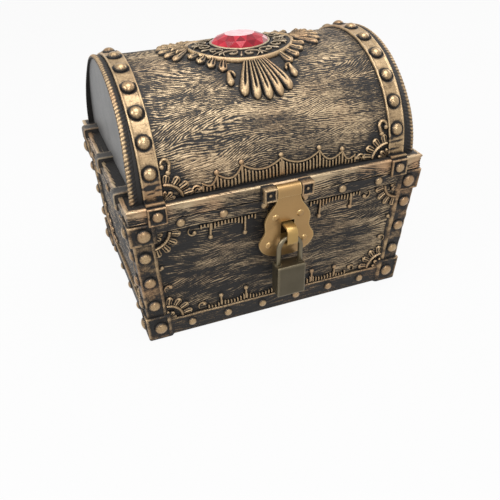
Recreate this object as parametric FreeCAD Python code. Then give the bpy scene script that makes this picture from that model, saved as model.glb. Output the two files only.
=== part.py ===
import FreeCAD, Part
import math
import os

# Treasure chest: a tapered box, an arched lid on two butt hinges, a hasp, a staple and a padlock.
# Millimetres, +X to the right, +Y to the back, +Z up, origin at the centre of the underside.

Vec = FreeCAD.Vector
right = Vec(1, 0, 0)
back = Vec(0, 1, 0)
up = Vec(0, 0, 1)
quarter_turn = 90.0
half_turn = 180.0
full_turn = 360.0

# Cuts and fits
overrun = 6.0
running_clearance = 0.06
parting_gap = 0.3

# Outer size of the lid's rim, which the box's mouth follows
rim_width = 180.0
rim_depth = 136.0
rim_overhang = 0.5

# Box
wall_taper = 5.25
box_height = 84.0
box_wall = 4.0
box_floor = 4.0
frame_thickness = 1.8
top_band_height = 7.5
bottom_band_height = 12.5
corner_strap_width = 11.0
corner_cap_thickness = 1.2
top_cap_width = 13.5
top_cap_height = 13.0
bottom_cap_width = 13.5
bottom_cap_height = 17.5

# Dome rivets
strap_rivet_radius = 3.7
strap_rivet_height = 2.4
cap_rivet_radius = 4.2
cap_rivet_height = 2.6
band_rivet_radius = 2.8
band_rivet_height = 1.9
pocket_rivet_radius = 2.9
pocket_rivet_height = 2.0
corner_strap_rivet_count = 3
long_band_rivet_count = 6
short_band_rivet_count = 4
top_rivet_long_end = 28.0
top_rivet_short_end = 30.6
bottom_rivet_long_end = 26.0
bottom_rivet_short_end = 27.3
top_rivet_height_share = 0.6
bottom_rivet_height_share = 0.56
hinge_rivet_inner_gap = 0.8
hinge_rivet_outer_gap = 0.2

# Lid
rim_height = 9.0
rim_lip = 0.5
ledge_width = 6.0
arch_rise = 58.0
lid_wall = 3.5
bead_width = 4.0
bead_height = 1.6
end_panel_thickness = 3.5
end_panel_recess = 1.0
lid_strap_inset = 16.0
lid_strap_width = 10.5
lid_strap_thickness = 1.8
strap_foot_height = 2.4
lid_strap_rivet_count = 11
rivet_sink = 0.4
strap_cap_drop = 1.5
strap_cap_thickness = 2.0
strap_cap_border = 1.5
strap_cap_pocket = 0.8
clip_end_gap = 15.0
clip_width = 12.0
clip_thickness = 3.0
clip_chamfer = 1.0

# Corner fans
fan_relief = 1.5
fan_ring_radius = 11.2
fan_ring_width = 2.4
fan_petal_count = 5
fan_petal_length = 5.6
fan_petal_width = 4.4
fan_petal_seat_share = 0.36
fan_leaf_length = 6.2
fan_leaf_width = 3.2
fan_leaf_seat_share = 0.42
fan_leaf_turn_shares = (0.25, 0.75)

# Combs
comb_relief = 1.4
comb_base = 1.2
comb_edge = 0.8
crown_relief = 0.7
comb_bar_width = 1.3
comb_bar_pitch = 2.3
comb_ball_radius = 1.5
lid_swag_share = 0.58
box_swag_share = 0.36
box_shoulder_share = 0.62
lid_comb_side_gap = 21.75
lid_comb_height = 13.2
lid_comb_peak_shares = (
    (-1.0, 0.49), (-0.81, 0.76), (-0.5, 1.0), (0.0, 1.0), (0.5, 1.0), (0.81, 0.76), (1.0, 0.49))
top_comb_start = 17.0
top_comb_side_gap = 39.0
top_comb_height = 12.2
top_comb_peak_shares = ((0.0, 0.66), (0.2, 1.0), (0.82, 0.84), (1.0, 0.57))
bottom_comb_start = 4.5
bottom_comb_side_gap = 36.75
bottom_comb_height = 9.6
bottom_comb_peak_shares = ((0.0, 0.73), (0.42, 1.0), (0.8, 0.88), (1.0, 0.63))

# Gem and its mount
gem_half_length = 17.5
gem_half_width = 13.0
gem_rise = 6.2
gem_girdle_rise = 2.2
gem_sink = 3.0
gem_clearance = 0.1
gem_side_count = 16
gem_table_share = 0.6
gem_crown_share = 0.86
gem_crown_rise_share = 0.62
collar_wall = 3.0
collar_rise = 2.7
flange_rise = 0.8
flange_width = 10.0
mount_rim_width = 2.6
mount_rim_rise = 1.6
mount_sink = 2.6
gem_fan_relief = 2.4
front_fan_radius = 25.0
front_fan_half_angle = 36.0
front_fan_rib_count = 5
end_fan_radius = 18.5
end_fan_half_angle = 46.0
end_fan_rib_count = 7
rib_root_width = 1.6
rib_tip_width = 3.0
rib_bulb_radius = 2.1
rib_root_share = 0.1
petal_length = 6.0
petal_width = 4.4
petal_seat = 1.6
petal_turn_shares = (0.36, 0.48, 0.6)

# Hasp
hasp_pin_radius = 1.3
hasp_knuckle_radius = 2.5
hasp_knuckle_half = 7.2
hasp_knuckle_gap = 0.7
hasp_pin_drop = 2.9
hasp_length = 44.0
hasp_half_width = 17.3
hasp_plate_thickness = 1.4
hasp_outline_shares = (
    (0.416, 0.09), (0.5, 0.193), (0.775, 0.365), (0.82, 0.48),
    (0.8, 0.575), (1.0, 0.75), (0.9, 0.88), (0.55, 0.975), (0.0, 1.0))
hasp_stud_radius = 2.3
hasp_stud_height = 1.1
hasp_upper_stud_shares = (0.44, 0.37)
hasp_lower_stud_shares = (0.65, 0.79)
slot_side_clearance = 1.0
slot_end_clearance = 1.6
ear_width = 7.5
ear_height = 8.0
ear_side_gap = 0.4
ear_wall = 2.0
ear_round = 1.2

# Staple
staple_drop = 21.2
staple_width = 6.5
staple_height = 12.6
staple_strip = 1.6
staple_reach = 15.8
staple_round = 4.2
staple_plate_width = 20.0
staple_plate_height = 26.0
staple_plate_thickness = 1.2

# Padlock
shackle_radius = 1.5
shackle_half_span = 6.9
shackle_hang_gap = 0.3
shackle_front_gap = 1.4
shackle_show = 10.5
shackle_toe_depth = 5.5
shackle_heel_depth = 14.0
shackle_hole_spare = 1.0
lock_width = 18.0
lock_depth = 9.5
lock_height = 21.0
lock_edge_round = 1.0
plug_radius = 3.4
plug_length = 10.0
keyway_width = 1.2
keyway_height = 4.2
keyway_depth = 8.0

# Butt hinges
hinge_inset = 40.5
hinge_width = 18.0
hinge_leaf_height = 7.3
hinge_leaf_thickness = 1.4
hinge_knuckle_radius = 2.4
hinge_pin_radius = 1.1
hinge_wall_gap = 0.4
hinge_knuckle_gap = 0.2
hinge_web_wall = 0.9
screw_radius = 1.5
screw_height = 0.7
screw_slot_width = 0.5
screw_slot_depth = 0.4
screw_spread_share = 0.3

# Levels and places that several pieces share
mouth_width = rim_width - 2 * rim_overhang
mouth_depth = rim_depth - 2 * rim_overhang
base_width = mouth_width - 2 * wall_taper
base_depth = mouth_depth - 2 * wall_taper
bead_reach = rim_width / 2 - ledge_width
arch_half_depth = rim_depth / 2 - ledge_width
lid_strap_offset = rim_width / 2 - lid_strap_inset
clip_pitch = (rim_depth - clip_width) / 2 - clip_end_gap
hinge_offset = rim_width / 2 - hinge_inset
staple_center_height = box_height - staple_drop
lid_comb_half_length = lid_strap_offset - lid_strap_width / 2 - lid_comb_side_gap
top_comb_length = mouth_width / 2 - top_comb_side_gap - top_comb_start
bottom_comb_length = base_width / 2 - bottom_comb_side_gap - bottom_comb_start
rim_bottom = box_height + parting_gap
rim_top = rim_bottom + rim_height
lid_top = rim_top + arch_rise
end_outer = bead_reach - end_panel_recess
end_inner = end_outer - end_panel_thickness
strap_top = box_height - top_band_height
wall_lean = math.atan2(wall_taper, box_height)
pin_y = -(rim_depth / 2 + hasp_knuckle_gap + hasp_knuckle_radius)
pin_z = rim_top - hasp_pin_drop
hinge_y = rim_depth / 2 + hinge_wall_gap + hinge_knuckle_radius
hinge_z = box_height + parting_gap / 2


def half_width(z):
    return base_width / 2 + wall_taper * z / box_height


def half_depth(z):
    return base_depth / 2 + wall_taper * z / box_height


def joined(shapes):
    return shapes[0].multiFuse(shapes[1:]).removeSplitter() if len(shapes) > 1 else shapes[0]


def grouped(shapes):
    solids = []
    for shape in shapes:
        solids.extend(shape.Solids)
    return Part.makeCompound(solids)


def block(x0, x1, y0, y1, z0, z1):
    return Part.makeBox(x1 - x0, y1 - y0, z1 - z0, Vec(x0, y0, z0))


def mirrored_x(shape):
    return shape.mirror(Vec(), right)


def mirrored_y(shape):
    return shape.mirror(Vec(), back)


# A block whose four sides lean like the box, each set in from the frame's outer faces.
def tapered_block(z0, z1, inset_x, inset_y):
    x0 = half_width(z0) - inset_x
    x1 = half_width(z1) - inset_x
    y0 = half_depth(z0) - inset_y
    y1 = half_depth(z1) - inset_y
    wedge = Part.makeWedge(-x0, z0, -y0, -y1, -x1, x0, z1, y0, y1, x1)
    wedge.rotate(Vec(), right, quarter_turn)
    return wedge


# The front right corner of the box, as wide as the strap or cap that wraps it.
def corner_block(z0, z1, width):
    x0 = half_width(z0)
    x1 = half_width(z1)
    y0 = half_depth(z0)
    y1 = half_depth(z1)
    wedge = Part.makeWedge(
        x0 - width, z0, y0 - width, y1 - width, x1 - width,
        x0 + overrun, z1, y0 + overrun, y1 + overrun, x1 + overrun)
    wedge.rotate(Vec(), right, quarter_turn)
    return wedge


def corner_piece(z0, z1, outer, seat, width):
    ring = tapered_block(z0, z1, -outer, -outer).cut(tapered_block(z0, z1, -seat, -seat))
    return ring.common(corner_block(z0, z1, width))


def four_corners(shape):
    left_shape = mirrored_x(shape)
    return {
        "front_right": shape,
        "front_left": left_shape,
        "back_right": mirrored_y(shape),
        "back_left": mirrored_y(left_shape),
    }


# A spherical cap that stands on its flat round base.
def dome(place, normal, radius, height):
    sphere_radius = (radius ** 2 + height ** 2) / (2 * height)
    center = place - normal * (sphere_radius - height)
    low = math.degrees(math.asin((sphere_radius - height) / sphere_radius))
    return Part.makeSphere(sphere_radius, center, normal, low, quarter_turn, full_turn)


def front_dome(x, z, seat, radius, height):
    normal = Vec(0, -math.cos(wall_lean), -math.sin(wall_lean))
    return dome(Vec(x, -half_depth(z) - seat, z), normal, radius, height)


def side_dome(y, z, seat, radius, height):
    normal = Vec(math.cos(wall_lean), 0, -math.sin(wall_lean))
    return dome(Vec(half_width(z) + seat, y, z), normal, radius, height)


# Even places from one end to the other of a line with its middle at zero.
def row(count, half_length):
    return [half_length * (2 * i / (count - 1) - 1) for i in range(count)]


# A half ellipse that stands on the rim, grown by an amount and drawn along X.
def arch_block(grow, x0, x1):
    depth = arch_half_depth + grow
    rise = arch_rise + grow
    center = Vec(x0, 0, rim_top)
    side_point = Vec(x0, depth, rim_top)
    top_point = Vec(x0, 0, rim_top + rise)
    ends = (side_point, top_point) if depth >= rise else (top_point, side_point)
    ellipse = Part.Ellipse(ends[0], ends[1], center)
    prism = Part.Face(Part.Wire(ellipse.toShape())).extrude(Vec(x1 - x0, 0, 0))
    side = depth + overrun
    above = block(x0 - overrun, x1 + overrun, -side, side, rim_top, rim_top + rise + overrun)
    return prism.common(above)


def arch_layer(height, x0, x1):
    return arch_block(height, x0, x1).cut(arch_block(0, x0 - overrun, x1 + overrun))


# Flat outlines for relief: each is a prism over the plane of u and v, as deep as the whole chest.
relief_depth = rim_width + rim_depth + lid_top


def flat_prism(wire):
    return Part.Face(wire).extrude(up * relief_depth)


def flat_disc(u, v, radius):
    return flat_prism(Part.Wire(Part.makeCircle(radius, Vec(u, v, 0))))


def flat_ellipse(u, v, turn, half_length, half_width_across):
    along = Vec(math.cos(turn), math.sin(turn), 0)
    across = Vec(-math.sin(turn), math.cos(turn), 0)
    center = Vec(u, v, 0)
    ends = (center + along * half_length, center + across * half_width_across)
    if half_length < half_width_across:
        ends = (ends[1], ends[0])
    return flat_prism(Part.Wire(Part.Ellipse(ends[0], ends[1], center).toShape()))


def flat_polygon(points):
    corners = [Vec(u, v, 0) for u, v in points]
    return flat_prism(Part.makePolygon(corners + corners[:1]))


def flat_taper(u, v, turn, start, end, start_width, end_width):
    along = Vec(math.cos(turn), math.sin(turn), 0)
    across = Vec(-math.sin(turn), math.cos(turn), 0)
    root = Vec(u, v, 0) + along * start
    tip = Vec(u, v, 0) + along * end
    corners = [
        root - across * (start_width / 2), tip - across * (end_width / 2),
        tip + across * (end_width / 2), root + across * (start_width / 2)]
    return flat_prism(Part.makePolygon(corners + corners[:1]))


# A crown on the line v = 0, whose edge sags in an arc from each peak to the next.
def flat_crown(peaks, swag_share):
    corners = [Vec(u, h, 0) for u, h in peaks]
    edges = []
    for start, end in zip(corners, corners[1:]):
        middle = Vec((start.x + end.x) / 2, min(start.y, end.y) * swag_share, 0)
        edges.append(Part.Arc(start, middle, end).toShape())
    feet = [Vec(corners[-1].x, 0, 0), Vec(corners[0].x, 0, 0)]
    edges.append(Part.makeLine(corners[-1], feet[0]))
    edges.append(Part.makeLine(feet[0], feet[1]))
    edges.append(Part.makeLine(feet[1], corners[0]))
    return flat_prism(Part.Wire(edges))


# A quarter fan in the positive corner: a ring, petals around it and two leaves inside it.
def flat_fan():
    inner = fan_ring_radius - fan_ring_width
    pieces = [flat_disc(0, 0, fan_ring_radius).cut(flat_disc(0, 0, inner))]
    petal_center = fan_ring_radius + fan_petal_length * fan_petal_seat_share
    for i in range(fan_petal_count):
        turn = math.radians(quarter_turn * (i + 0.5) / fan_petal_count)
        u = petal_center * math.cos(turn)
        v = petal_center * math.sin(turn)
        pieces.append(flat_ellipse(u, v, turn, fan_petal_length / 2, fan_petal_width / 2))
    leaf_center = inner - fan_leaf_length * fan_leaf_seat_share
    for share in fan_leaf_turn_shares:
        turn = math.radians(quarter_turn * share)
        u = leaf_center * math.cos(turn)
        v = leaf_center * math.sin(turn)
        pieces.append(flat_ellipse(u, v, turn, fan_leaf_length / 2, fan_leaf_width / 2))
    reach = fan_ring_radius + fan_petal_length + overrun
    return joined(pieces).common(block(0, reach, 0, reach, -overrun, relief_depth + overrun))


def placed_fan(u, v, flip_u, flip_v):
    fan = flat_fan()
    if flip_u:
        fan = mirrored_x(fan)
    if flip_v:
        fan = mirrored_y(fan)
    fan.translate(Vec(u, v, 0))
    return fan


# The places and heights of a comb's peaks, from their shares of its length and height.
def comb_peaks(start, length, height, shares):
    return [(start + length * u_share, height * v_share) for u_share, v_share in shares]


# A bar of a comb that stands on the line v = 0.
def flat_bar(u, height):
    return flat_taper(u, 0, math.radians(quarter_turn), 0, height, comb_bar_width, comb_bar_width)


# A comb on the line v = 0: a base, bars whose tops sag between the peaks, and a ball on each peak.
# The bars next to a peak reach a share of its height.
def flat_comb(peaks, shoulder_share, swag_share):
    first = peaks[0][0]
    last = peaks[-1][0]
    pieces = [flat_polygon([(first, 0), (last, 0), (last, comb_base), (first, comb_base)])]
    for (u0, peak0), (u1, peak1) in zip(peaks, peaks[1:]):
        h0 = peak0 * shoulder_share
        h1 = peak1 * shoulder_share
        low = min(peak0, peak1) * swag_share
        bars = max(1, int((u1 - u0) / comb_bar_pitch))
        for i in range(bars):
            share = (i + 0.5) / bars
            chord = h0 + (h1 - h0) * share
            sag = (chord - low) * 4 * share * (1 - share)
            pieces.append(flat_bar(u0 + (u1 - u0) * share, max(chord - sag - comb_edge, comb_base)))
    for u, h in peaks[1:-1]:
        pieces.append(flat_bar(u, h))
        pieces.append(flat_disc(u, h, comb_ball_radius))
    return joined(pieces)


# Stands a flat prism up against the front, with v up and its depth towards the viewer.
def facing_front(prism, lift):
    prism = prism.copy()
    prism.rotate(Vec(), right, quarter_turn)
    prism.translate(up * lift)
    return prism


# Stands a flat prism up against the right side, with u to the back and v up.
def facing_right(prism, lift):
    prism = prism.copy()
    prism.rotate(Vec(), Vec(1, 1, 1), full_turn / 3)
    prism.translate(up * lift)
    return prism


# The skins of relief on the box's front and right panels, inside their straps and bands.
def front_panel_layer(relief):
    inset = frame_thickness - relief
    outer = tapered_block(bottom_band_height, strap_top, corner_strap_width, inset)
    return outer.cut(tapered_block(bottom_band_height, strap_top, 0, frame_thickness))


def right_panel_layer(relief):
    inset = frame_thickness - relief
    outer = tapered_block(bottom_band_height, strap_top, inset, corner_strap_width)
    return outer.cut(tapered_block(bottom_band_height, strap_top, frame_thickness, 0))


def box_shell():
    outer = tapered_block(0, box_height, frame_thickness, frame_thickness)
    inset = frame_thickness + box_wall
    hollow = tapered_block(box_floor, box_height + overrun, inset, inset)
    return outer.cut(hollow)


def box_band(z0, z1):
    return tapered_block(z0, z1, 0, 0).cut(tapered_block(z0, z1, frame_thickness, frame_thickness))


def corner_strap():
    return corner_piece(bottom_band_height, strap_top, 0, -frame_thickness, corner_strap_width)


def top_cap():
    return corner_piece(box_height - top_cap_height, box_height, corner_cap_thickness, 0, top_cap_width)


def bottom_cap():
    return corner_piece(0, bottom_cap_height, corner_cap_thickness, 0, bottom_cap_width)


def corner_rivets():
    low = bottom_cap_height
    span = box_height - top_cap_height - low
    rivets = []
    for i in range(corner_strap_rivet_count):
        z = low + span * (i + 0.5) / corner_strap_rivet_count
        x = half_width(z) - corner_strap_width / 2
        y = half_depth(z) - corner_strap_width / 2
        rivets.append(front_dome(x, z, 0, strap_rivet_radius, strap_rivet_height))
        rivets.append(side_dome(-y, z, 0, strap_rivet_radius, strap_rivet_height))
    for z, width in (
            (box_height - top_cap_height / 2, top_cap_width),
            (bottom_cap_height / 2, bottom_cap_width)):
        x = half_width(z) - width / 2
        y = half_depth(z) - width / 2
        rivets.append(front_dome(x, z, corner_cap_thickness, cap_rivet_radius, cap_rivet_height))
        rivets.append(side_dome(-y, z, corner_cap_thickness, cap_rivet_radius, cap_rivet_height))
    corner = grouped(rivets)
    return grouped(four_corners(corner).values())


def band_rivets(z, front_places, back_places, side_places):
    front = [front_dome(x, z, 0, band_rivet_radius, band_rivet_height) for x in front_places]
    rear = [mirrored_y(front_dome(x, z, 0, band_rivet_radius, band_rivet_height)) for x in back_places]
    side = [side_dome(y, z, 0, band_rivet_radius, band_rivet_height) for y in side_places]
    return grouped(front + side + rear + [mirrored_x(d) for d in side])


# Rivet places along the back's top band, which leave room for the hinge leaves.
def hinge_rivet_places():
    inner = hinge_offset - hinge_width / 2 - hinge_rivet_inner_gap - band_rivet_radius
    outer = hinge_offset + hinge_width / 2 + hinge_rivet_outer_gap + band_rivet_radius
    return [-outer, *row(long_band_rivet_count - 2, inner), outer]


def top_band_rivets():
    z = box_height - top_band_height * (1 - top_rivet_height_share)
    front_places = row(long_band_rivet_count, mouth_width / 2 - top_rivet_long_end)
    side_places = row(short_band_rivet_count, mouth_depth / 2 - top_rivet_short_end)
    return band_rivets(z, front_places, hinge_rivet_places(), side_places)


def bottom_band_rivets():
    z = bottom_band_height * bottom_rivet_height_share
    long_places = row(long_band_rivet_count, base_width / 2 - bottom_rivet_long_end)
    side_places = row(short_band_rivet_count, base_depth / 2 - bottom_rivet_short_end)
    return band_rivets(z, long_places, long_places, side_places)


# Four corner fans on one panel, seen flat, whose half width follows the leaning straps.
def panel_fans(half_size):
    fans = []
    for v, flip_v in ((bottom_band_height, False), (strap_top, True)):
        u = half_size(v) - corner_strap_width
        fans.append(placed_fan(-u, v, False, flip_v))
        fans.append(placed_fan(u, v, True, flip_v))
    return fans


def box_front_fans():
    layer = front_panel_layer(fan_relief)
    return grouped([facing_front(fan, 0).common(layer) for fan in panel_fans(half_width)])


def box_right_fans():
    layer = right_panel_layer(fan_relief)
    return grouped([facing_right(fan, 0).common(layer) for fan in panel_fans(half_depth)])


def box_combs(peaks, level, hangs):
    comb = flat_comb(peaks, box_shoulder_share, box_swag_share)
    if hangs:
        comb = mirrored_y(comb)
    piece = facing_front(comb, level).common(front_panel_layer(comb_relief))
    return grouped([piece, mirrored_x(piece)])


def box_top_combs():
    peaks = comb_peaks(top_comb_start, top_comb_length, top_comb_height, top_comb_peak_shares)
    return box_combs(peaks, strap_top, True)


def box_bottom_combs():
    peaks = comb_peaks(bottom_comb_start, bottom_comb_length, bottom_comb_height, bottom_comb_peak_shares)
    return box_combs(peaks, bottom_band_height, False)


def lid_shell():
    hollow = arch_block(-lid_wall, -end_inner - overrun, end_inner + overrun)
    return arch_block(0, -end_inner, end_inner).cut(hollow)


def lid_end_panel():
    return arch_block(0, end_inner, end_outer)


def lid_bead():
    return arch_layer(bead_height, bead_reach - bead_width, bead_reach)


def lid_rim():
    outer = block(-rim_width / 2, rim_width / 2, -rim_depth / 2, rim_depth / 2, rim_bottom, rim_top)
    x = end_inner - rim_lip
    y = arch_half_depth - lid_wall - rim_lip
    return outer.cut(block(-x, x, -y, y, rim_bottom - overrun, rim_top + overrun))


# The right arched strap, with a foot on the ledge of the rim at the front and at the back.
def lid_strap():
    x0 = lid_strap_offset - lid_strap_width / 2
    x1 = lid_strap_offset + lid_strap_width / 2
    foot = block(x0, x1, -rim_depth / 2, rim_depth / 2, rim_top, rim_top + strap_foot_height)
    foot = foot.cut(arch_block(0, x0 - overrun, x1 + overrun))
    return joined([arch_layer(lid_strap_thickness, x0, x1), foot])


# The square cap at a strap's foot: a plate with a raised frame around a shallow pocket.
# What hangs below the rim is a thin lip that clears the box's corner cap.
def strap_cap(bottom):
    x0 = lid_strap_offset - lid_strap_width / 2
    x1 = lid_strap_offset + lid_strap_width / 2
    outer = -rim_depth / 2 - strap_cap_thickness
    plate = block(x0, x1, outer, -rim_depth / 2, bottom, rim_top)
    pocket = block(
        x0 + strap_cap_border, x1 - strap_cap_border, outer - overrun, outer + strap_cap_pocket,
        bottom + strap_cap_border, rim_top - strap_cap_border)
    lip_back = -mouth_depth / 2 - corner_cap_thickness - parting_gap
    below = block(x0, x1, lip_back, 0, bottom - overrun, rim_bottom)
    return plate.cut(pocket).cut(below)


def lid_strap_caps():
    front = strap_cap(rim_bottom - strap_cap_drop)
    rear = mirrored_y(strap_cap(rim_bottom))
    return grouped([front, mirrored_x(front), rear, mirrored_x(rear)])


# Rivets evenly spaced along the strap's outer face, and one in the pocket of each square cap.
def lid_rivets():
    depth = arch_half_depth + lid_strap_thickness
    rise = arch_rise + lid_strap_thickness
    x0 = lid_strap_offset - lid_strap_width
    x1 = lid_strap_offset + lid_strap_width
    outer_face = arch_block(lid_strap_thickness, x0, x1)
    center = Vec(lid_strap_offset, 0, rim_top)
    side_point = center + back * depth
    top_point = center + up * rise
    ends = (side_point, top_point) if depth >= rise else (top_point, side_point)
    ellipse = Part.Ellipse(ends[0], ends[1], center)
    points = ellipse.toShape().discretize(Number=2 * (lid_strap_rivet_count + 1) + 1)
    rivets = []
    for point in [point for point in points if point.z > rim_top + strap_rivet_radius]:
        slope = Vec(0, point.y / depth ** 2, (point.z - rim_top) / rise ** 2)
        normal = slope.normalize()
        place = Vec(lid_strap_offset, point.y, point.z) - normal * rivet_sink
        head = dome(place, normal, strap_rivet_radius, strap_rivet_height + rivet_sink)
        rivets.append(head.cut(outer_face))
    floor = -rim_depth / 2 - strap_cap_thickness + strap_cap_pocket
    for bottom, side in ((rim_bottom - strap_cap_drop, 1), (rim_bottom, -1)):
        place = Vec(lid_strap_offset, floor * side, (bottom + rim_top) / 2)
        rivets.append(dome(place, back * -side, pocket_rivet_radius, pocket_rivet_height))
    return grouped(rivets + [mirrored_x(rivet) for rivet in rivets])


# A clip bent over the rim's side: one leg on the ledge, one down the rim's face.
def side_clip(y):
    x1 = rim_width / 2 + clip_thickness
    z1 = rim_top + clip_thickness
    points = [
        (end_outer, rim_top), (end_outer, z1), (x1 - clip_chamfer, z1), (x1, z1 - clip_chamfer),
        (x1, rim_bottom), (rim_width / 2, rim_bottom), (rim_width / 2, rim_top)]
    corners = [Vec(x, y - clip_width / 2, z) for x, z in points]
    return Part.Face(Part.makePolygon(corners + corners[:1])).extrude(back * clip_width)


def lid_side_clips():
    clips = [side_clip(y) for y in (-clip_pitch, 0, clip_pitch)]
    return grouped(clips + [mirrored_x(clip) for clip in clips])


def lid_fan():
    x = lid_strap_offset - lid_strap_width / 2
    fan = facing_front(placed_fan(x, 0, True, False), rim_top)
    return fan.common(arch_layer(fan_relief, 0, x))


def lid_comb():
    peaks = comb_peaks(0, lid_comb_half_length, lid_comb_height, lid_comb_peak_shares)
    reach = lid_comb_half_length + overrun
    bars = facing_front(flat_comb(peaks, 1, lid_swag_share), rim_top)
    crown = facing_front(flat_crown(peaks, lid_swag_share), rim_top)
    return joined([
        crown.common(arch_layer(crown_relief, -reach, reach)),
        bars.common(arch_layer(comb_relief, -reach, reach))])


# Plan ellipses of the gem's mount, from the stone outwards.
collar_inner = (gem_half_length + gem_clearance, gem_half_width + gem_clearance)
collar_outer = (collar_inner[0] + collar_wall, collar_inner[1] + collar_wall)
flange_outer = (collar_outer[0] + flange_width, collar_outer[1] + flange_width / 2)
mount_outer = (flange_outer[0] + mount_rim_width, flange_outer[1] + mount_rim_width)


def plan_ellipse(half_sizes):
    return flat_ellipse(0, 0, 0, half_sizes[0], half_sizes[1])


def top_layer(relief):
    return arch_layer(relief, -end_inner, end_inner)


# A flat ring of the mount, from under the lid's crest to a height above it, seated on the arch.
def mount_ring(outer, inner, rise):
    ring = plan_ellipse(outer).cut(plan_ellipse(inner))
    x, y = end_inner, arch_half_depth
    level = block(-x, x, -y, y, lid_top - mount_sink, lid_top + rise)
    return ring.common(level).cut(arch_block(0, -end_inner, end_inner))


def gem_collar():
    return mount_ring(collar_outer, collar_inner, collar_rise)


def gem_flange():
    return mount_ring(flange_outer, collar_outer, flange_rise)


def gem_mount_rim():
    return mount_ring(mount_outer, flange_outer, mount_rim_rise)


# Ring of points on the stone, a share of its plan size, turned by half a side where asked.
def gem_ring(share, z, shift):
    points = []
    for i in range(gem_side_count):
        turn = 2 * math.pi * (i + shift) / gem_side_count
        x = gem_half_length * share * math.cos(turn)
        y = gem_half_width * share * math.sin(turn)
        points.append(Vec(x, y, z))
    return points


def facets_between(low, high, high_leads):
    faces = []
    count = len(low)
    for i in range(count):
        j = (i + 1) % count
        tip = high[i] if high_leads else high[j]
        foot = low[j] if high_leads else low[i]
        faces.append([low[i], low[j], tip])
        faces.append([high[i], high[j], foot])
    return faces


# The oval stone: a straight girdle, two rows of triangular facets and a flat table.
def gem():
    base_z = lid_top - gem_sink
    girdle_z = lid_top + gem_girdle_rise
    crown_z = girdle_z + (gem_rise - gem_girdle_rise) * gem_crown_rise_share
    base = gem_ring(1, base_z, 0)
    girdle = gem_ring(1, girdle_z, 0)
    crown = gem_ring(gem_crown_share, crown_z, 0.5)
    table = gem_ring(gem_table_share, lid_top + gem_rise, 0)
    faces = [base, table]
    for i in range(gem_side_count):
        j = (i + 1) % gem_side_count
        faces.append([base[i], base[j], girdle[j], girdle[i]])
    faces += facets_between(girdle, crown, True)
    faces += facets_between(crown, table, False)
    shell = Part.makeShell([Part.Face(Part.makePolygon(f + f[:1])) for f in faces])
    stone = Part.makeSolid(shell)
    if stone.Volume < 0:
        stone.reverse()
    return stone.cut(arch_block(0, -end_inner, end_inner))


# A shell of ribs that spread from a point, each with a round bulb at its tip.
def flat_rib_fan(u, v, turn, radius, half_angle, count):
    ribs = []
    tip = radius - rib_bulb_radius
    for i in range(count):
        spread = math.radians(half_angle) * (2 * i / (count - 1) - 1)
        angle = turn + spread
        ribs.append(flat_taper(u, v, angle, radius * rib_root_share, tip, rib_root_width, rib_tip_width))
        ribs.append(flat_disc(u + tip * math.cos(angle), v + tip * math.sin(angle), rib_bulb_radius))
    return joined(ribs)


def gem_front_fan():
    fan = flat_rib_fan(
        0, -flange_outer[1], -math.pi / 2, front_fan_radius, front_fan_half_angle, front_fan_rib_count)
    return fan.cut(plan_ellipse(mount_outer)).common(top_layer(gem_fan_relief))


def gem_end_fan():
    fan = flat_rib_fan(flange_outer[0], 0, 0, end_fan_radius, end_fan_half_angle, end_fan_rib_count)
    return fan.cut(plan_ellipse(mount_outer)).common(top_layer(gem_fan_relief))


# Petals around the mount between the fans, pointing outwards.
def gem_petals(neighbours):
    petals = []
    for share in petal_turn_shares:
        turn = math.radians(quarter_turn * share)
        u = (mount_outer[0] + petal_seat) * math.cos(turn)
        v = (mount_outer[1] + petal_seat) * math.sin(turn)
        out = math.atan2(v * mount_outer[0] ** 2, u * mount_outer[1] ** 2)
        petals.append(flat_ellipse(u, v, out, petal_length / 2, petal_width / 2))
    piece = joined(petals).cut(plan_ellipse(mount_outer)).common(top_layer(gem_fan_relief))
    for neighbour in neighbours:
        piece = piece.cut(neighbour)
    return grouped([piece, mirrored_x(piece), mirrored_y(piece), mirrored_x(mirrored_y(piece))])


# An ear beside the hasp's knuckle: a rounded block on the rim, drilled for the pin.
def hasp_ear():
    x0 = hasp_knuckle_half + ear_side_gap
    front = pin_y - hasp_pin_radius - ear_wall
    ear = block(x0, x0 + ear_width, front, -rim_depth / 2, rim_top - ear_height, rim_top)
    rounded = [e for e in ear.Edges if e.BoundBox.YMax < front + ear_round]
    ear = ear.makeFillet(ear_round, rounded)
    return ear.cut(hasp_bore(hasp_pin_radius))


def hasp_bore(radius):
    reach = hasp_knuckle_half + ear_side_gap + ear_width
    return Part.makeCylinder(radius, 2 * reach, Vec(-reach, pin_y, pin_z), right)


def hasp_pin():
    return hasp_bore(hasp_pin_radius)


# The hasp is drawn hanging straight, then leans back with the box's front.
def leaned(shape):
    shape.rotate(Vec(0, pin_y, pin_z), right, math.degrees(wall_lean))
    return shape


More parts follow.
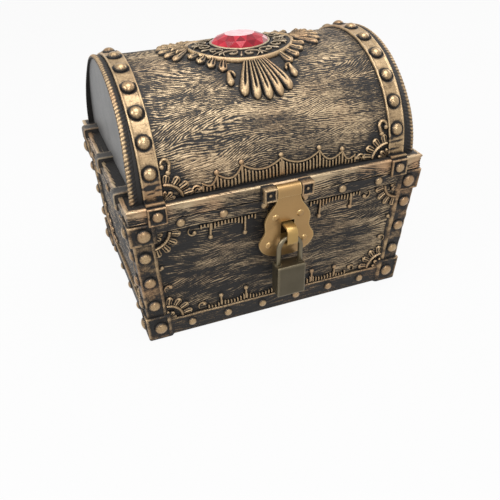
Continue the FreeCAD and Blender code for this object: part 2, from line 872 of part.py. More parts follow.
def hasp_plate():
    front = pin_y - hasp_knuckle_radius
    curve_points = [
        Vec(hasp_half_width * x_share, front, pin_z - hasp_length * z_share)
        for x_share, z_share in hasp_outline_shares]
    curve = Part.BSplineCurve()
    curve.interpolate(curve_points)
    side = curve.toShape()
    other_side = mirrored_x(side)
    top = Part.makeLine(other_side.Vertexes[0].Point, side.Vertexes[0].Point)
    outline = Part.Wire(Part.__sortEdges__([side, other_side, top]))
    plate = Part.Face(outline).extrude(back * hasp_plate_thickness)
    neck_z = pin_z - hasp_length * hasp_outline_shares[0][1]
    neck = block(-hasp_knuckle_half, hasp_knuckle_half, front, front + hasp_plate_thickness, neck_z, pin_z)
    roll = Part.makeCylinder(
        hasp_knuckle_radius, 2 * hasp_knuckle_half, Vec(-hasp_knuckle_half, pin_y, pin_z), right)
    slot_x = staple_width / 2 + slot_side_clearance
    slot_z = staple_height / 2 + slot_end_clearance
    slot = block(
        -slot_x, slot_x, front - overrun, front + hasp_plate_thickness + overrun,
        staple_center_height - slot_z, staple_center_height + slot_z)
    body = joined([plate, neck, roll]).cut(slot)
    return leaned(body.cut(hasp_bore(hasp_pin_radius + running_clearance)))


def hasp_studs():
    front = pin_y - hasp_knuckle_radius
    studs = []
    for x_share, z_share in (hasp_upper_stud_shares, hasp_lower_stud_shares):
        place = Vec(hasp_half_width * x_share, front, pin_z - hasp_length * z_share)
        stud = leaned(dome(place, -back, hasp_stud_radius, hasp_stud_height))
        studs += [stud, mirrored_x(stud)]
    return grouped(studs)


# Where the staple stands on the front panel, and how far out its bend is.
staple_low = staple_center_height - staple_height / 2
staple_high = staple_center_height + staple_height / 2
staple_seat = half_depth(staple_center_height) - frame_thickness
staple_tip = staple_seat + staple_reach


def staple_plate():
    half = staple_plate_width / 2
    low = staple_center_height - staple_plate_height / 2
    high = staple_center_height + staple_plate_height / 2
    outer = tapered_block(low, high, 0, frame_thickness - staple_plate_thickness)
    skin = outer.cut(tapered_block(low, high, 0, frame_thickness))
    return skin.common(block(-half, half, -mouth_depth, 0, low, high))


# A bar towards the front whose two far corners are rounded, seen from the side.
def round_nosed(half, reach, low, high, radius):
    bar = block(-half, half, -reach, 0, low, high)
    nose = [e for e in bar.Edges if e.BoundBox.YMax < radius - reach and e.BoundBox.XLength > half]
    return bar.makeFillet(radius, nose)


# A strip bent to a round-cornered loop, open towards the panel, with its hole along X.
def staple():
    half = staple_width / 2
    outer = round_nosed(half, staple_tip, staple_low, staple_high, staple_round)
    inner = round_nosed(
        half + overrun, staple_tip - staple_strip, staple_low + staple_strip, staple_high - staple_strip,
        staple_round - staple_strip)
    inset = frame_thickness - staple_plate_thickness
    wall = tapered_block(staple_low - overrun, staple_high + overrun, 0, inset)
    return outer.cut(inner).cut(wall)


# The shackle's crown lies just over the staple's lower strip, inside its bend.
lock_y = -(staple_tip - staple_strip - shackle_front_gap - shackle_radius)
edge_lean = math.asin(staple_width / 2 / shackle_half_span)
crown_drop = shackle_half_span * (1 - math.cos(edge_lean))
crown_z = staple_low + staple_strip + shackle_hang_gap + crown_drop + shackle_radius / math.cos(edge_lean)
bend_z = crown_z - shackle_half_span
lock_top = bend_z - shackle_show
lock_bottom = lock_top - lock_height


def shackle_leg(side, radius, depth):
    bottom = lock_top - depth
    return Part.makeCylinder(radius, bend_z - bottom, Vec(side * shackle_half_span, lock_y, bottom), up)


def padlock_shackle():
    heel_top = Vec(-shackle_half_span, lock_y, bend_z)
    section = Part.Face(Part.Wire(Part.makeCircle(shackle_radius, heel_top, up)))
    bend = section.revolve(Vec(0, lock_y, bend_z), back, half_turn)
    heel = shackle_leg(-1, shackle_radius, shackle_heel_depth)
    toe = shackle_leg(1, shackle_radius, shackle_toe_depth)
    return joined([bend, heel, toe])


def padlock_case():
    front = lock_y - lock_depth / 2
    case = block(-lock_width / 2, lock_width / 2, front, front + lock_depth, lock_bottom, lock_top)
    case = case.makeFillet(lock_edge_round, case.Edges)
    hole_radius = shackle_radius + running_clearance
    for side, depth in ((-1, shackle_heel_depth), (1, shackle_toe_depth)):
        case = case.cut(shackle_leg(side, hole_radius, depth + shackle_hole_spare))
    bore_radius = plug_radius + running_clearance
    bore_length = plug_length + running_clearance + overrun
    bore = Part.makeCylinder(bore_radius, bore_length, Vec(0, lock_y, lock_bottom - overrun), up)
    return case.cut(bore)


# The key plug, flush with the case's underside, with its keyway.
def padlock_plug():
    plug = Part.makeCylinder(plug_radius, plug_length, Vec(0, lock_y, lock_bottom), up)
    keyway = block(
        -keyway_width / 2, keyway_width / 2, lock_y - keyway_height / 2, lock_y + keyway_height / 2,
        lock_bottom - overrun, lock_bottom + keyway_depth)
    return plug.cut(keyway)


# The three knuckles of one hinge along X, with a small gap between neighbours.
def knuckle_spans():
    step = hinge_width / 3
    start = hinge_offset - hinge_width / 2
    return [
        (start + step * i + hinge_knuckle_gap / 2, start + step * (i + 1) - hinge_knuckle_gap / 2)
        for i in range(3)]


def hinge_cylinder(radius, span):
    return Part.makeCylinder(radius, span[1] - span[0], Vec(span[0], hinge_y, hinge_z), right)


hinge_reach = hinge_knuckle_radius + hinge_wall_gap


# A leaf on the box's top band, with the two outer knuckles.
def box_hinge_leaf():
    start, middle, end = knuckle_spans()
    low = box_height - hinge_leaf_height
    high = hinge_z - hinge_reach
    outer = tapered_block(low, box_height, 0, -hinge_leaf_thickness)
    skin = outer.cut(tapered_block(low, box_height, -overrun, 0))
    pieces = [skin.common(block(start[0], end[1], 0, mouth_depth, low, high))]
    for span in (start, end):
        web = block(span[0], span[1], 0, hinge_y, high, hinge_z - hinge_pin_radius - hinge_web_wall)
        pieces.append(web.cut(tapered_block(low, box_height, -overrun, 0)))
        pieces.append(hinge_cylinder(hinge_knuckle_radius, span))
    whole = (start[0] - overrun, end[1] + overrun)
    return joined(pieces).cut(hinge_cylinder(hinge_pin_radius, whole))


# A leaf on the lid's rim, with the middle knuckle.
def lid_hinge_leaf():
    start, middle, end = knuckle_spans()
    face = rim_depth / 2
    low = hinge_z + hinge_reach
    high = hinge_z + hinge_leaf_height + hinge_wall_gap
    plate = block(start[0], end[1], face, face + hinge_leaf_thickness, low, high)
    web = block(middle[0], middle[1], face, hinge_y, hinge_z + hinge_pin_radius + hinge_web_wall, low)
    roll = hinge_cylinder(hinge_knuckle_radius, middle)
    whole = (start[0] - overrun, end[1] + overrun)
    return joined([plate, web, roll]).cut(hinge_cylinder(hinge_pin_radius + running_clearance, whole))


def hinge_pin():
    start, middle, end = knuckle_spans()
    return hinge_cylinder(hinge_pin_radius, (start[0], end[1]))


# A slotted screw head on a face that looks to the back.
def screw(place, normal):
    head = dome(place, normal, screw_radius, screw_height)
    slot = block(
        place.x - screw_radius, place.x + screw_radius,
        place.y + screw_height - screw_slot_depth, place.y + overrun,
        place.z - screw_slot_width / 2, place.z + screw_slot_width / 2)
    return head.cut(slot)


def screw_row(y, z, normal):
    spread = hinge_width * screw_spread_share
    heads = [screw(Vec(hinge_offset + side * spread, y, z), normal) for side in (-1, 1)]
    return grouped(heads + [mirrored_x(head) for head in heads])


def box_hinge_screws():
    z = (box_height - hinge_leaf_height + hinge_z - hinge_reach) / 2
    normal = Vec(0, math.cos(wall_lean), -math.sin(wall_lean))
    return screw_row(half_depth(z) + hinge_leaf_thickness, z, normal)


def lid_hinge_screws():
    z = hinge_z + (hinge_reach + hinge_leaf_height + hinge_wall_gap) / 2
    return screw_row(rim_depth / 2 + hinge_leaf_thickness, z, back)


def sided(name, shape):
    return {name + "_right": shape, name + "_left": mirrored_x(shape)}


def all_nodes():
    nodes = {
        "box_shell": box_shell(),
        "box_top_band": box_band(strap_top, box_height),
        "box_bottom_band": box_band(0, bottom_band_height),
        "box_top_caps": grouped(four_corners(top_cap()).values()),
        "box_bottom_caps": grouped(four_corners(bottom_cap()).values()),
        "box_corner_rivets": corner_rivets(),
        "box_top_band_rivets": top_band_rivets(),
        "box_bottom_band_rivets": bottom_band_rivets(),
        "box_front_fans": box_front_fans(),
        "box_top_combs": box_top_combs(),
        "box_bottom_combs": box_bottom_combs(),
        "staple_plate": staple_plate(),
        "staple": staple(),
        "box_hinge_screws": box_hinge_screws(),
        "lid_shell": lid_shell(),
        "lid_rim": lid_rim(),
        "lid_strap_caps": lid_strap_caps(),
        "lid_rivets": lid_rivets(),
        "lid_side_clips": lid_side_clips(),
        "lid_comb": lid_comb(),
        "gem_collar": gem_collar(),
        "gem_flange": gem_flange(),
        "gem_mount_rim": gem_mount_rim(),
        "gem": gem(),
        "hasp_pin": hasp_pin(),
        "lid_hinge_screws": lid_hinge_screws(),
        "hasp_plate": hasp_plate(),
        "hasp_studs": hasp_studs(),
        "padlock_shackle": padlock_shackle(),
        "padlock_case": padlock_case(),
        "padlock_plug": padlock_plug(),
    }
    for corner, shape in four_corners(corner_strap()).items():
        nodes["box_strap_" + corner] = shape
    front_fan = gem_front_fan()
    end_fan = gem_end_fan()
    nodes["gem_fan_front"] = front_fan
    nodes["gem_fan_back"] = mirrored_y(front_fan)
    nodes.update(sided("gem_fan", end_fan))
    nodes["gem_petals"] = gem_petals((mirrored_y(front_fan), end_fan))
    nodes.update(sided("box_side_fans", box_right_fans()))
    nodes.update(sided("lid_end_panel", lid_end_panel()))
    nodes.update(sided("lid_bead", lid_bead()))
    nodes.update(sided("lid_strap", lid_strap()))
    nodes.update(sided("lid_fan", lid_fan()))
    nodes.update(sided("hasp_ear", hasp_ear()))
    nodes.update(sided("box_hinge_leaf", box_hinge_leaf()))
    nodes.update(sided("lid_hinge_leaf", lid_hinge_leaf()))
    nodes.update(sided("hinge_pin", hinge_pin()))
    return nodes


os.makedirs("parts", exist_ok=True)
for node_name, node_shape in all_nodes().items():
    node_shape.exportStep("parts/" + node_name + ".step")
    print(node_name, len(node_shape.Solids), node_shape.isValid(), round(node_shape.Volume))
print("lid hinge", hinge_y, hinge_z)
print("hasp hinge", pin_y, pin_z)
print("padlock swing", lock_y, crown_z, "case", lock_bottom, lock_top)
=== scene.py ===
import math
import bmesh
import bpy
import numpy as np
from mathutils import Matrix, Vector


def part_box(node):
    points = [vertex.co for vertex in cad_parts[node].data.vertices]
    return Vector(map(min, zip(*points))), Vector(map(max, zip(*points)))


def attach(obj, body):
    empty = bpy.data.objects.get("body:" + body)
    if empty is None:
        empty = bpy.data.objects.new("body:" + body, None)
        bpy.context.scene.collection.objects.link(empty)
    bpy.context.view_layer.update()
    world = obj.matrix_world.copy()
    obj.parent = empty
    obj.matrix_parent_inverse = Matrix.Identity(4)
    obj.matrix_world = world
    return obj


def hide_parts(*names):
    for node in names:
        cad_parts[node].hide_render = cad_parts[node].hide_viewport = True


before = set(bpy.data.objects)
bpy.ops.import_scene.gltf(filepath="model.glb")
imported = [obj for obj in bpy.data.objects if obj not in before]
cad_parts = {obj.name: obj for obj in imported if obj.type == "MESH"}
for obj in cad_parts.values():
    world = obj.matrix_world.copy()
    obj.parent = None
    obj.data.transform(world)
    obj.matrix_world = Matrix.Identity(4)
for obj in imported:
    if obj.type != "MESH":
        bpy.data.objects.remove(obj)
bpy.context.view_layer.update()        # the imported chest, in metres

print("frame loaded:", len(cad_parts), "nodes")

perMetre = 1000                          # this script works in mm, Blender in metres
mm = 0.001
sideSigns = {"right": 1, "left": -1}     # the chest's two ends, with the sign of x there


# a node's lowest and highest corner at rest, in mm
def span(node):
    low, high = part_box(node)
    return np.array(low) * perMetre, np.array(high) * perMetre


topLow, topHigh = span("box_top_band")
footHigh = span("box_bottom_band")[1]
shellHigh = span("box_shell")[1]
archLow, archHigh = span("lid_shell")
rimLow, rimHigh = span("lid_rim")
lean = (topHigh[0] - footHigh[0]) / (topHigh[2] - footHigh[2])   # a wall steps out by this for each mm up
panelStep = topHigh[0] - shellHigh[0]                            # bands stand this far off the panels
archDeep = archHigh[1]
archBase = archLow[2]
archRise = archHigh[2] - archLow[2]


# half the box's width at height z: a straight line that leans out as z goes up
def halfWide(z):
    return topHigh[0] + lean * (z - topHigh[2])


# half the box's depth at height z, with the same lean
def halfDeep(z):
    return topHigh[1] + lean * (z - topHigh[2])


# half the width between the panels, which stand back from the bands
def panelWide(z):
    return halfWide(z) - panelStep


# half the depth between the panels
def panelDeep(z):
    return halfDeep(z) - panelStep


# arrays side by side in a new last axis, each spread to the shape of all
def joined(*columns):
    return np.stack(np.broadcast_arrays(*columns), -1)


# even angles round a full turn, without its end
def fullTurn(count):
    return np.linspace(0, math.tau, count, endpoint=False)


# 0 below low, 1 above high, an S curve between
def smoothStep(low, high, x):
    t = np.clip((x - low) / (high - low), 0, 1)
    return t * t * (3 - 2 * t)


latticeSize = 256


# seeded random numbers on a lattice of cells 1 / scale wide, blended with an S curve between lattice points
def latticeNoise(u, v, scale, seed):
    table = np.random.default_rng(seed).random((latticeSize, latticeSize))
    u, v = np.broadcast_arrays(np.asarray(u, float) * scale[0], np.asarray(v, float) * scale[1])
    i = np.floor(u).astype(int)
    j = np.floor(v).astype(int)
    a = smoothStep(0, 1, u - i)
    b = smoothStep(0, 1, v - j)
    i0 = i % latticeSize
    i1 = (i + 1) % latticeSize
    j0 = j % latticeSize
    j1 = (j + 1) % latticeSize
    near = table[i0, j0] * (1 - a) + table[i1, j0] * a
    far = table[i0, j1] * (1 - a) + table[i1, j1] * a
    return near * (1 - b) + far * b


grainSpec = {"pitch": 1.35, "slow": 9.0, "slowScale": (0.02, 0.045), "quick": 3.0,
             "quickScale": (0.075, 0.13), "wobble": 3, "wobbleScale": (0.11, 0.3), "line": 0.45, "dash": 0.55,
             "dashScale": (0.24, 0.9)}


# carved strokes: a sine across the grain, bent by slow and quick waves, broken into dashes by noise
# stretched along the grain; 0 in a groove, 1 on a ridge
def carvedStrokes(u, v, seed):
    spec = grainSpec
    bend = (latticeNoise(u, v, spec["slowScale"], seed) - 0.5) * spec["slow"]
    bend = bend + (latticeNoise(u, v, spec["quickScale"], seed + 1) - 0.5) * spec["quick"]
    phase = spec["wobble"] * latticeNoise(u, v, spec["wobbleScale"], seed + 2)
    line = 0.5 + 0.5 * np.sin((v + bend) * 2 * math.pi / spec["pitch"] + phase)
    dash = latticeNoise(u, v + bend, spec["dashScale"], seed + 3)
    return smoothStep(0.15, 0.85, spec["line"] * line + spec["dash"] * dash)


# how far a rounded edge of radius r drops, d from the border: a quarter circle
def edgeDrop(d, r):
    return r * (1 - np.sqrt(1 - np.clip(1 - d / r, 0, 1) ** 2))


edgeNear = np.array([0, 0.18, 0.45, 0.8, 1.2, 1.6])      # close steps beside an edge
edgeRun = 2                                              # even steps start this far from it


# steps from low to high, close together near both ends
def edgeSteps(low, high, count):
    middle = np.linspace(low + edgeRun, high - edgeRun, count)
    return np.concatenate([low + edgeNear, middle, high - edgeNear[::-1]])


# each wall's way along it and its way out, as x and y
wallTurns = {"front": (1, 0, 0, -1), "right": (0, 1, 1, 0), "back": (-1, 0, 0, 1), "left": (0, -1, -1, 0)}


# a leaning wall: u runs along it, z up, h out of the panel along its normal
def wallPlace(side):
    alongX, alongY, outX, outY = wallTurns[side]
    slope = math.hypot(1, lean)

    def place(u, z, h):
        out = (panelDeep(z) if outY else panelWide(z)) + h / slope
        return joined(alongX * u + outX * out, alongY * u + outY * out, z - h * lean / slope)
    return place


# the upright face of the lid's rim: u along it, z up, h outwards
def rimPlace(side):
    alongX, alongY, outX, outY = wallTurns[side]

    def place(u, z, h):
        out = (rimHigh[1] if outY else rimHigh[0]) + h
        return joined(alongX * u + outX * out, alongY * u + outY * out, z)
    return place


# the lid's arch: a half ellipse from the front foot (angle 0) to the back foot (pi), h along its normal
def archPoint(x, angle, h):
    ny = -np.cos(angle) / archDeep
    nz = np.sin(angle) / archRise
    size = np.hypot(ny, nz)
    y = -archDeep * np.cos(angle) + h * ny / size
    z = archBase + archRise * np.sin(angle) + h * nz / size
    return joined(x, y, z)


archAngles = np.linspace(0, math.pi, 1441)


# the run along a half ellipse at each of these angles: its short chords added up
def ellipseRun(deep, rise):
    chords = np.hypot(np.diff(-deep * np.cos(archAngles)), np.diff(rise * np.sin(archAngles)))
    return np.concatenate([[0], np.cumsum(chords)])


archRun = ellipseRun(archDeep, archRise)
archLength = archRun[-1]


# on the arch by run along it from the front foot
def archPlace(x, s, h):
    return archPoint(x, np.interp(s, archRun, archAngles), h)


# on the arch by its plan place: the angle whose cosine gives y
def planPlace(x, y, h):
    return archPoint(x, np.arccos(np.clip(-np.asarray(y) / archDeep, -1, 1)), h)


# a level place at one height
def levelPlace(level):
    def place(x, y, h):
        return joined(x, y, level + np.asarray(h))
    return place


# rings of points joined row to row; the first and last ring are filled unless the rows close on themselves
def loft(points, worn, grain=None, closed=False):
    points = points if points.ndim == 4 else points[None]
    count, rows, around = points.shape[:3]
    i, j = np.meshgrid(np.arange(rows if closed else rows - 1), np.arange(around), indexing="ij")
    beside = (j + 1) % around
    after = (i + 1) % rows
    quads = joined(i * around + j, i * around + beside, after * around + beside, after * around + j)
    starts = np.arange(count)[:, None, None] * rows * around
    ring = np.arange(around)
    ends = np.zeros((0, around), int) if closed else np.stack([ring[::-1], (rows - 1) * around + ring])
    grain = points[..., :2] if grain is None else np.broadcast_to(grain, (count, rows, around, 2))
    return {
        "points": points.reshape(-1, 3),
        "quads": (quads.reshape(1, -1, 4) + starts).reshape(-1, 4),
        "ends": (ends[None] + starts).reshape(-1, around),
        "worn": np.broadcast_to(worn, (count, rows, around)).reshape(-1),
        "grain": grain.reshape(-1, 2)}


# one number for all, one for each line, or one for each point of each line, as lines x points
def spread(value, count, rows):
    value = np.asarray(value, float)
    return np.broadcast_to(value[:, None] if value.ndim == 1 else value, (count, rows))


tiny = 1e-9
strokeEnd = 1.03         # just over 1, so that a stroke's end keeps a little width


# lines in relief: a half-round section carried along each path, its ends drawn in on a quarter circle
def strokes(place, paths, width, height, sides=8, sink=0.6, low=0.25, high=1.0, blunt=0.22):
    paths = np.asarray(paths, float)
    paths = paths if paths.ndim == 3 else paths[None]
    count, rows = paths.shape[:2]
    ahead = np.gradient(paths, axis=1)
    ahead = ahead / (np.linalg.norm(ahead, axis=2, keepdims=True) + tiny)
    across = joined(-ahead[..., 1], ahead[..., 0])
    t = np.abs(np.linspace(-1, 1, rows))
    draw = np.sqrt(strokeEnd - np.clip((t - 1 + blunt) / blunt, 0, 1) ** 2)
    width = spread(width, count, rows) * draw
    height = spread(height, count, rows) * draw
    turn = fullTurn(sides)
    uv = paths[:, :, None] + across[:, :, None] * (width[..., None] * np.cos(turn))[..., None]
    h = np.where(np.sin(turn) > 0, height[..., None] * np.sin(turn), sink * np.sin(turn))
    worn = low + (high - low) * np.clip(np.sin(turn), 0, 1)
    return loft(place(uv[..., 0], uv[..., 1], h), worn, uv)


leafSpec = {"steps": 15, "reach": 0.9999, "end": 1.0004, "tip": 0.6, "rootTall": 0.72, "tipTall": 0.25,
            "domed": 0.97, "dark": 0.1, "cut": 0.7, "marks": {0: [9.0], 1: [0.0], 2: [-0.36, 0.36]},
            "markHalf": {0: 0.2, 1: 0.2, 2: 0.15}}


# leaves: a domed section that widens from root to a round tip, cut by grooves that stop short of the tip
def leaves(place, roots, tips, half, rise, grooves=1, root=0.5, sink=0.6, bright=1.0):
    spec = leafSpec
    roots = np.asarray(roots, float)
    tips = np.asarray(tips, float)
    half = np.broadcast_to(half, len(roots))[:, None]
    length = np.linalg.norm(tips - roots, axis=1)[:, None]
    ahead = (tips - roots) / length
    across = joined(-ahead[:, 1], ahead[:, 0])
    t = np.sin(np.linspace(0, 1, spec["steps"]) * math.pi / 2)[None] * spec["reach"]
    tip = 1 - np.minimum(half / length, spec["tip"])
    end = np.sqrt(spec["end"] - np.clip((t - tip) / (1 - tip), 0, 1) ** 2)
    wide = half * (root + (1 - root) * smoothStep(0, 0.85, t)) * end
    tall = rise * (spec["rootTall"] + (1 - spec["rootTall"]) * smoothStep(0.3, 0.85, t))
    tall = tall * (spec["tipTall"] + (1 - spec["tipTall"]) * end)
    c = np.linspace(-1, 1, spec["steps"])
    dome = np.sqrt(1 - spec["domed"] * c ** 2)
    marks = np.array(spec["marks"][grooves])
    cutIn = np.exp(-((c[:, None] - marks) / spec["markHalf"][grooves]) ** 2).sum(-1)
    cutIn = cutIn * (1 - smoothStep(0.68, 0.86, t))[..., None]
    uv = (roots[:, None] + (tips - roots)[:, None] * t[..., None])[:, :, None]
    uv = uv + across[:, None, None] * (wide[..., None] * c)[..., None]
    h = tall[..., None] * dome * (1 - spec["cut"] * cutIn)
    tone = bright * (spec["dark"] + (1 - spec["dark"]) * dome ** 1.5) * (1 - cutIn)
    worn = np.broadcast_to(tone, h.shape)
    # two points under the leaf close its section
    hidden = h.shape[:2] + (2,)
    uv = np.concatenate([uv, uv[:, :, [-1, 0]]], 2)
    h = np.concatenate([h, np.full(hidden, -sink)], 2)
    worn = np.concatenate([worn, np.zeros(hidden)], 2)
    return loft(place(uv[..., 0], uv[..., 1], h), worn, uv)


domeSpec = {"rings": 7, "top": 1.47, "dark": 0.15}


# round heads: a quarter-ellipse profile turned about each centre, from a sunk foot to a small flat top
def domes(place, centres, radius, height, base=0.0, sides=14, sink=0.7):
    spec = domeSpec
    centres = np.asarray(centres, float)
    q = np.linspace(0, spec["top"], spec["rings"])
    rings = radius * np.concatenate([[1.0], np.cos(q)])[:, None]
    rise = np.concatenate([[-sink], height * np.sin(q)])[:, None]
    turn = fullTurn(sides)
    u = centres[:, 0, None, None] + rings * np.cos(turn)
    v = centres[:, 1, None, None] + rings * np.sin(turn)
    worn = spec["dark"] + (1 - spec["dark"]) * np.concatenate([[0], np.sin(q)])[None, :, None]
    return loft(place(u, v, base + rise), worn, joined(u, v))


# a raised plate: heights over a grid of u and v, closed by two long edges underneath
def slab(place, us, vs, height, worn, sink=0.5):
    u, v = np.meshgrid(us, vs)
    outer = [-1, 0]
    under = place(u[:, outer], v[:, outer], -sink)
    points = np.concatenate([place(u, v, height(u, v)), under], 1)
    shade = np.concatenate([worn(u, v), np.zeros((len(vs), 2))], 1)
    grain = joined(np.concatenate([u, u[:, outer]], 1), np.concatenate([v, v[:, outer]], 1))
    return loft(points, shade, grain)


meshSpec = {"merge": 1e-6, "cadMerge": 2e-6, "flat": 1.5, "bevelSegments": 2, "bevelAngle": 30}


# one object from parts: merged, normals outwards, edges past the sharp angle left hard
def newPiece(name, parts, body, finish, nodes=(), sharp=60):
    starts = np.cumsum([0] + [len(part["points"]) for part in parts])
    faces = []
    for start, part in zip(starts, parts):
        faces += (part["quads"] + start).tolist() + (part["ends"] + start).tolist()
    points = np.concatenate([part["points"] for part in parts]) * mm
    mesh = bpy.data.meshes.new(name)
    mesh.from_pydata(points.tolist(), [], faces)
    worn = np.concatenate([part["worn"] for part in parts]).astype(np.float32)
    mesh.attributes.new("worn", "FLOAT", "POINT").data.foreach_set("value", worn)
    grain = np.concatenate([part["grain"] for part in parts])
    grain = np.concatenate([grain, np.zeros((len(grain), 1))], 1).astype(np.float32)
    mesh.attributes.new("grain", "FLOAT_VECTOR", "POINT").data.foreach_set("vector", grain.ravel())
    work = bmesh.new()
    work.from_mesh(mesh)
    bmesh.ops.remove_doubles(work, verts=work.verts, dist=meshSpec["merge"])
    bmesh.ops.recalc_face_normals(work, faces=work.faces)
    work.to_mesh(mesh)
    work.free()
    mesh.shade_smooth()
    mesh.set_sharp_from_angle(angle=math.radians(sharp))
    dressed(bpy.data.objects.new(name, mesh), body, finish, nodes)


# a piece into the scene: its finish, the body it rides on, the nodes it stands for
def dressed(piece, body, finish, nodes):
    bpy.context.scene.collection.objects.link(piece)
    piece.data.materials.clear()
    piece.data.materials.append(finishes[finish]["material"])
    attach(piece, body)
    if nodes:
        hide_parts(*nodes)


# a CAD piece with its edges softened: a merged copy of its mesh, flat faces joined, edges bevelled
def softened(node, body, finish, width):
    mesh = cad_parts[node].data.copy()
    work = bmesh.new()
    work.from_mesh(mesh)
    bmesh.ops.remove_doubles(work, verts=work.verts, dist=meshSpec["cadMerge"])
    flat = math.radians(meshSpec["flat"])
    bmesh.ops.dissolve_limit(work, angle_limit=flat, verts=work.verts, edges=work.edges)
    work.to_mesh(mesh)
    work.free()
    mesh.shade_smooth()
    piece = bpy.data.objects.new(node + "_soft", mesh)
    dressed(piece, body, finish, [node])
    bevel = piece.modifiers.new("edges", "BEVEL")
    bevel.width = width * mm
    bevel.segments = meshSpec["bevelSegments"]
    bevel.limit_method = "ANGLE"
    bevel.angle_limit = math.radians(meshSpec["bevelAngle"])
    bevel.harden_normals = True


# a shader socket: arithmetic on it adds Math nodes to its tree
class Sock:
    def __init__(self, tree, socket=None):
        self.tree = tree
        self.socket = socket

    # any node: its type, its settings first, then its sockets' values or links
    def node(self, kind, settings=None, sockets=None, output=0):
        made = self.tree.nodes.new("ShaderNode" + kind)
        for key, value in (settings or {}).items():
            if key == "stops":
                stops = made.color_ramp.elements
                while len(stops) < len(value):
                    stops.new(1.0)
                for stop, (position, colour) in zip(stops, value):
                    stop.position = position
                    stop.color = (*colour, 1.0)
            else:
                setattr(made, key, value)
        for key, value in (sockets or {}).items():
            self.plug(made.inputs[key], value)
        return Sock(self.tree, made.outputs[output] if len(made.outputs) else None)

    # a link from another socket, or a value
    def plug(self, socket, value):
        if isinstance(value, Sock):
            self.tree.links.new(value.socket, socket)
        elif isinstance(value, tuple) and socket.type == "RGBA":
            socket.default_value = (*value, 1.0)
        else:
            socket.default_value = value

    # one Math node on two values; the operators below each add one
    def maths(self, operation, left, right, clamp=False):
        return self.node("Math", {"operation": operation, "use_clamp": clamp}, {0: left, 1: right})

    def __add__(self, other):
        return self.maths("ADD", self, other)

    def __radd__(self, other):
        return self.maths("ADD", other, self)

    def __sub__(self, other):
        return self.maths("SUBTRACT", self, other)

    def __rsub__(self, other):
        return self.maths("SUBTRACT", other, self)

    def __mul__(self, other):
        return self.maths("MULTIPLY", self, other)

    def __rmul__(self, other):
        return self.maths("MULTIPLY", other, self)

    # kept between 0 and 1
    def clamped(self):
        return self.maths("ADD", self, 0.0, True)

    # two colours mixed by a share
    def mix(self, share, low, high):
        return self.node("Mix", {"data_type": "RGBA"}, {0: share, 6: low, 7: high}, 2)

    # smooth noise at a place, from 0 to 1
    def noise(self, place, scale, detail, roughness=0.6):
        return self.node("TexNoise", {}, {
            "Vector": place, "Scale": scale, "Detail": detail, "Roughness": roughness})


finishes = {}


# an empty material with its slot, and the socket that its nodes start from
def newFinish(name, slot):
    material = bpy.data.materials.new(name)
    material.use_nodes = True
    material.node_tree.nodes.clear()
    finishes[name] = {"material": material, "slot": slot}
    return Sock(material.node_tree)


# the shader and the output that close a material
def closeFinish(start, sockets):
    surface = start.node("BsdfPrincipled", {}, sockets)
    start.node("OutputMaterial", {}, {"Surface": surface})


# a place multiplied by a factor along each axis
def stretched(place, factors):
    return place.node("VectorMath", {"operation": "MULTIPLY"}, {0: place, 1: factors})


# carved strokes: the place across the grain, folded into chevrons and bent by slow and quick noise, feeds a
# sine; noise stretched along the bent lines breaks them into dashes
def carvedLines(grain, spec):
    slow = grain.noise(stretched(grain, (0.016, 0.045, 1.0)), 1.0, 1.0)
    quick = grain.noise(stretched(grain, (0.07, 0.2, 1.0)), 1.0, 1.0)
    sway = grain.noise(stretched(grain, (0.012, 0.02, 1.0)), 1.0, 1.0)
    along = grain.node("SeparateXYZ", {}, {0: grain})
    across = grain.node("SeparateXYZ", {}, {0: grain}, 1)
    fold = grain.maths("PINGPONG", across + sway * spec["sway"], spec["fold"])
    bent = fold + along * spec["slant"] + (slow - 0.5) * spec["slow"] + (quick - 0.5) * spec["quick"]
    line = grain.maths("SINE", bent * (2 * math.pi / spec["pitch"]), 0.0)
    dashPlace = grain.node("CombineXYZ", {}, {0: along * spec["dash"], 1: bent * spec["dashTight"]})
    dash = grain.noise(dashPlace, 1.0, 2.0, 0.55)
    band = grain.noise(stretched(grain, (0.03, 0.17, 1.0)), 1.0, 2.0, 0.5)
    return line * spec["line"] + (dash - 0.5) * spec["break"] + (band - 0.5) * spec["band"]


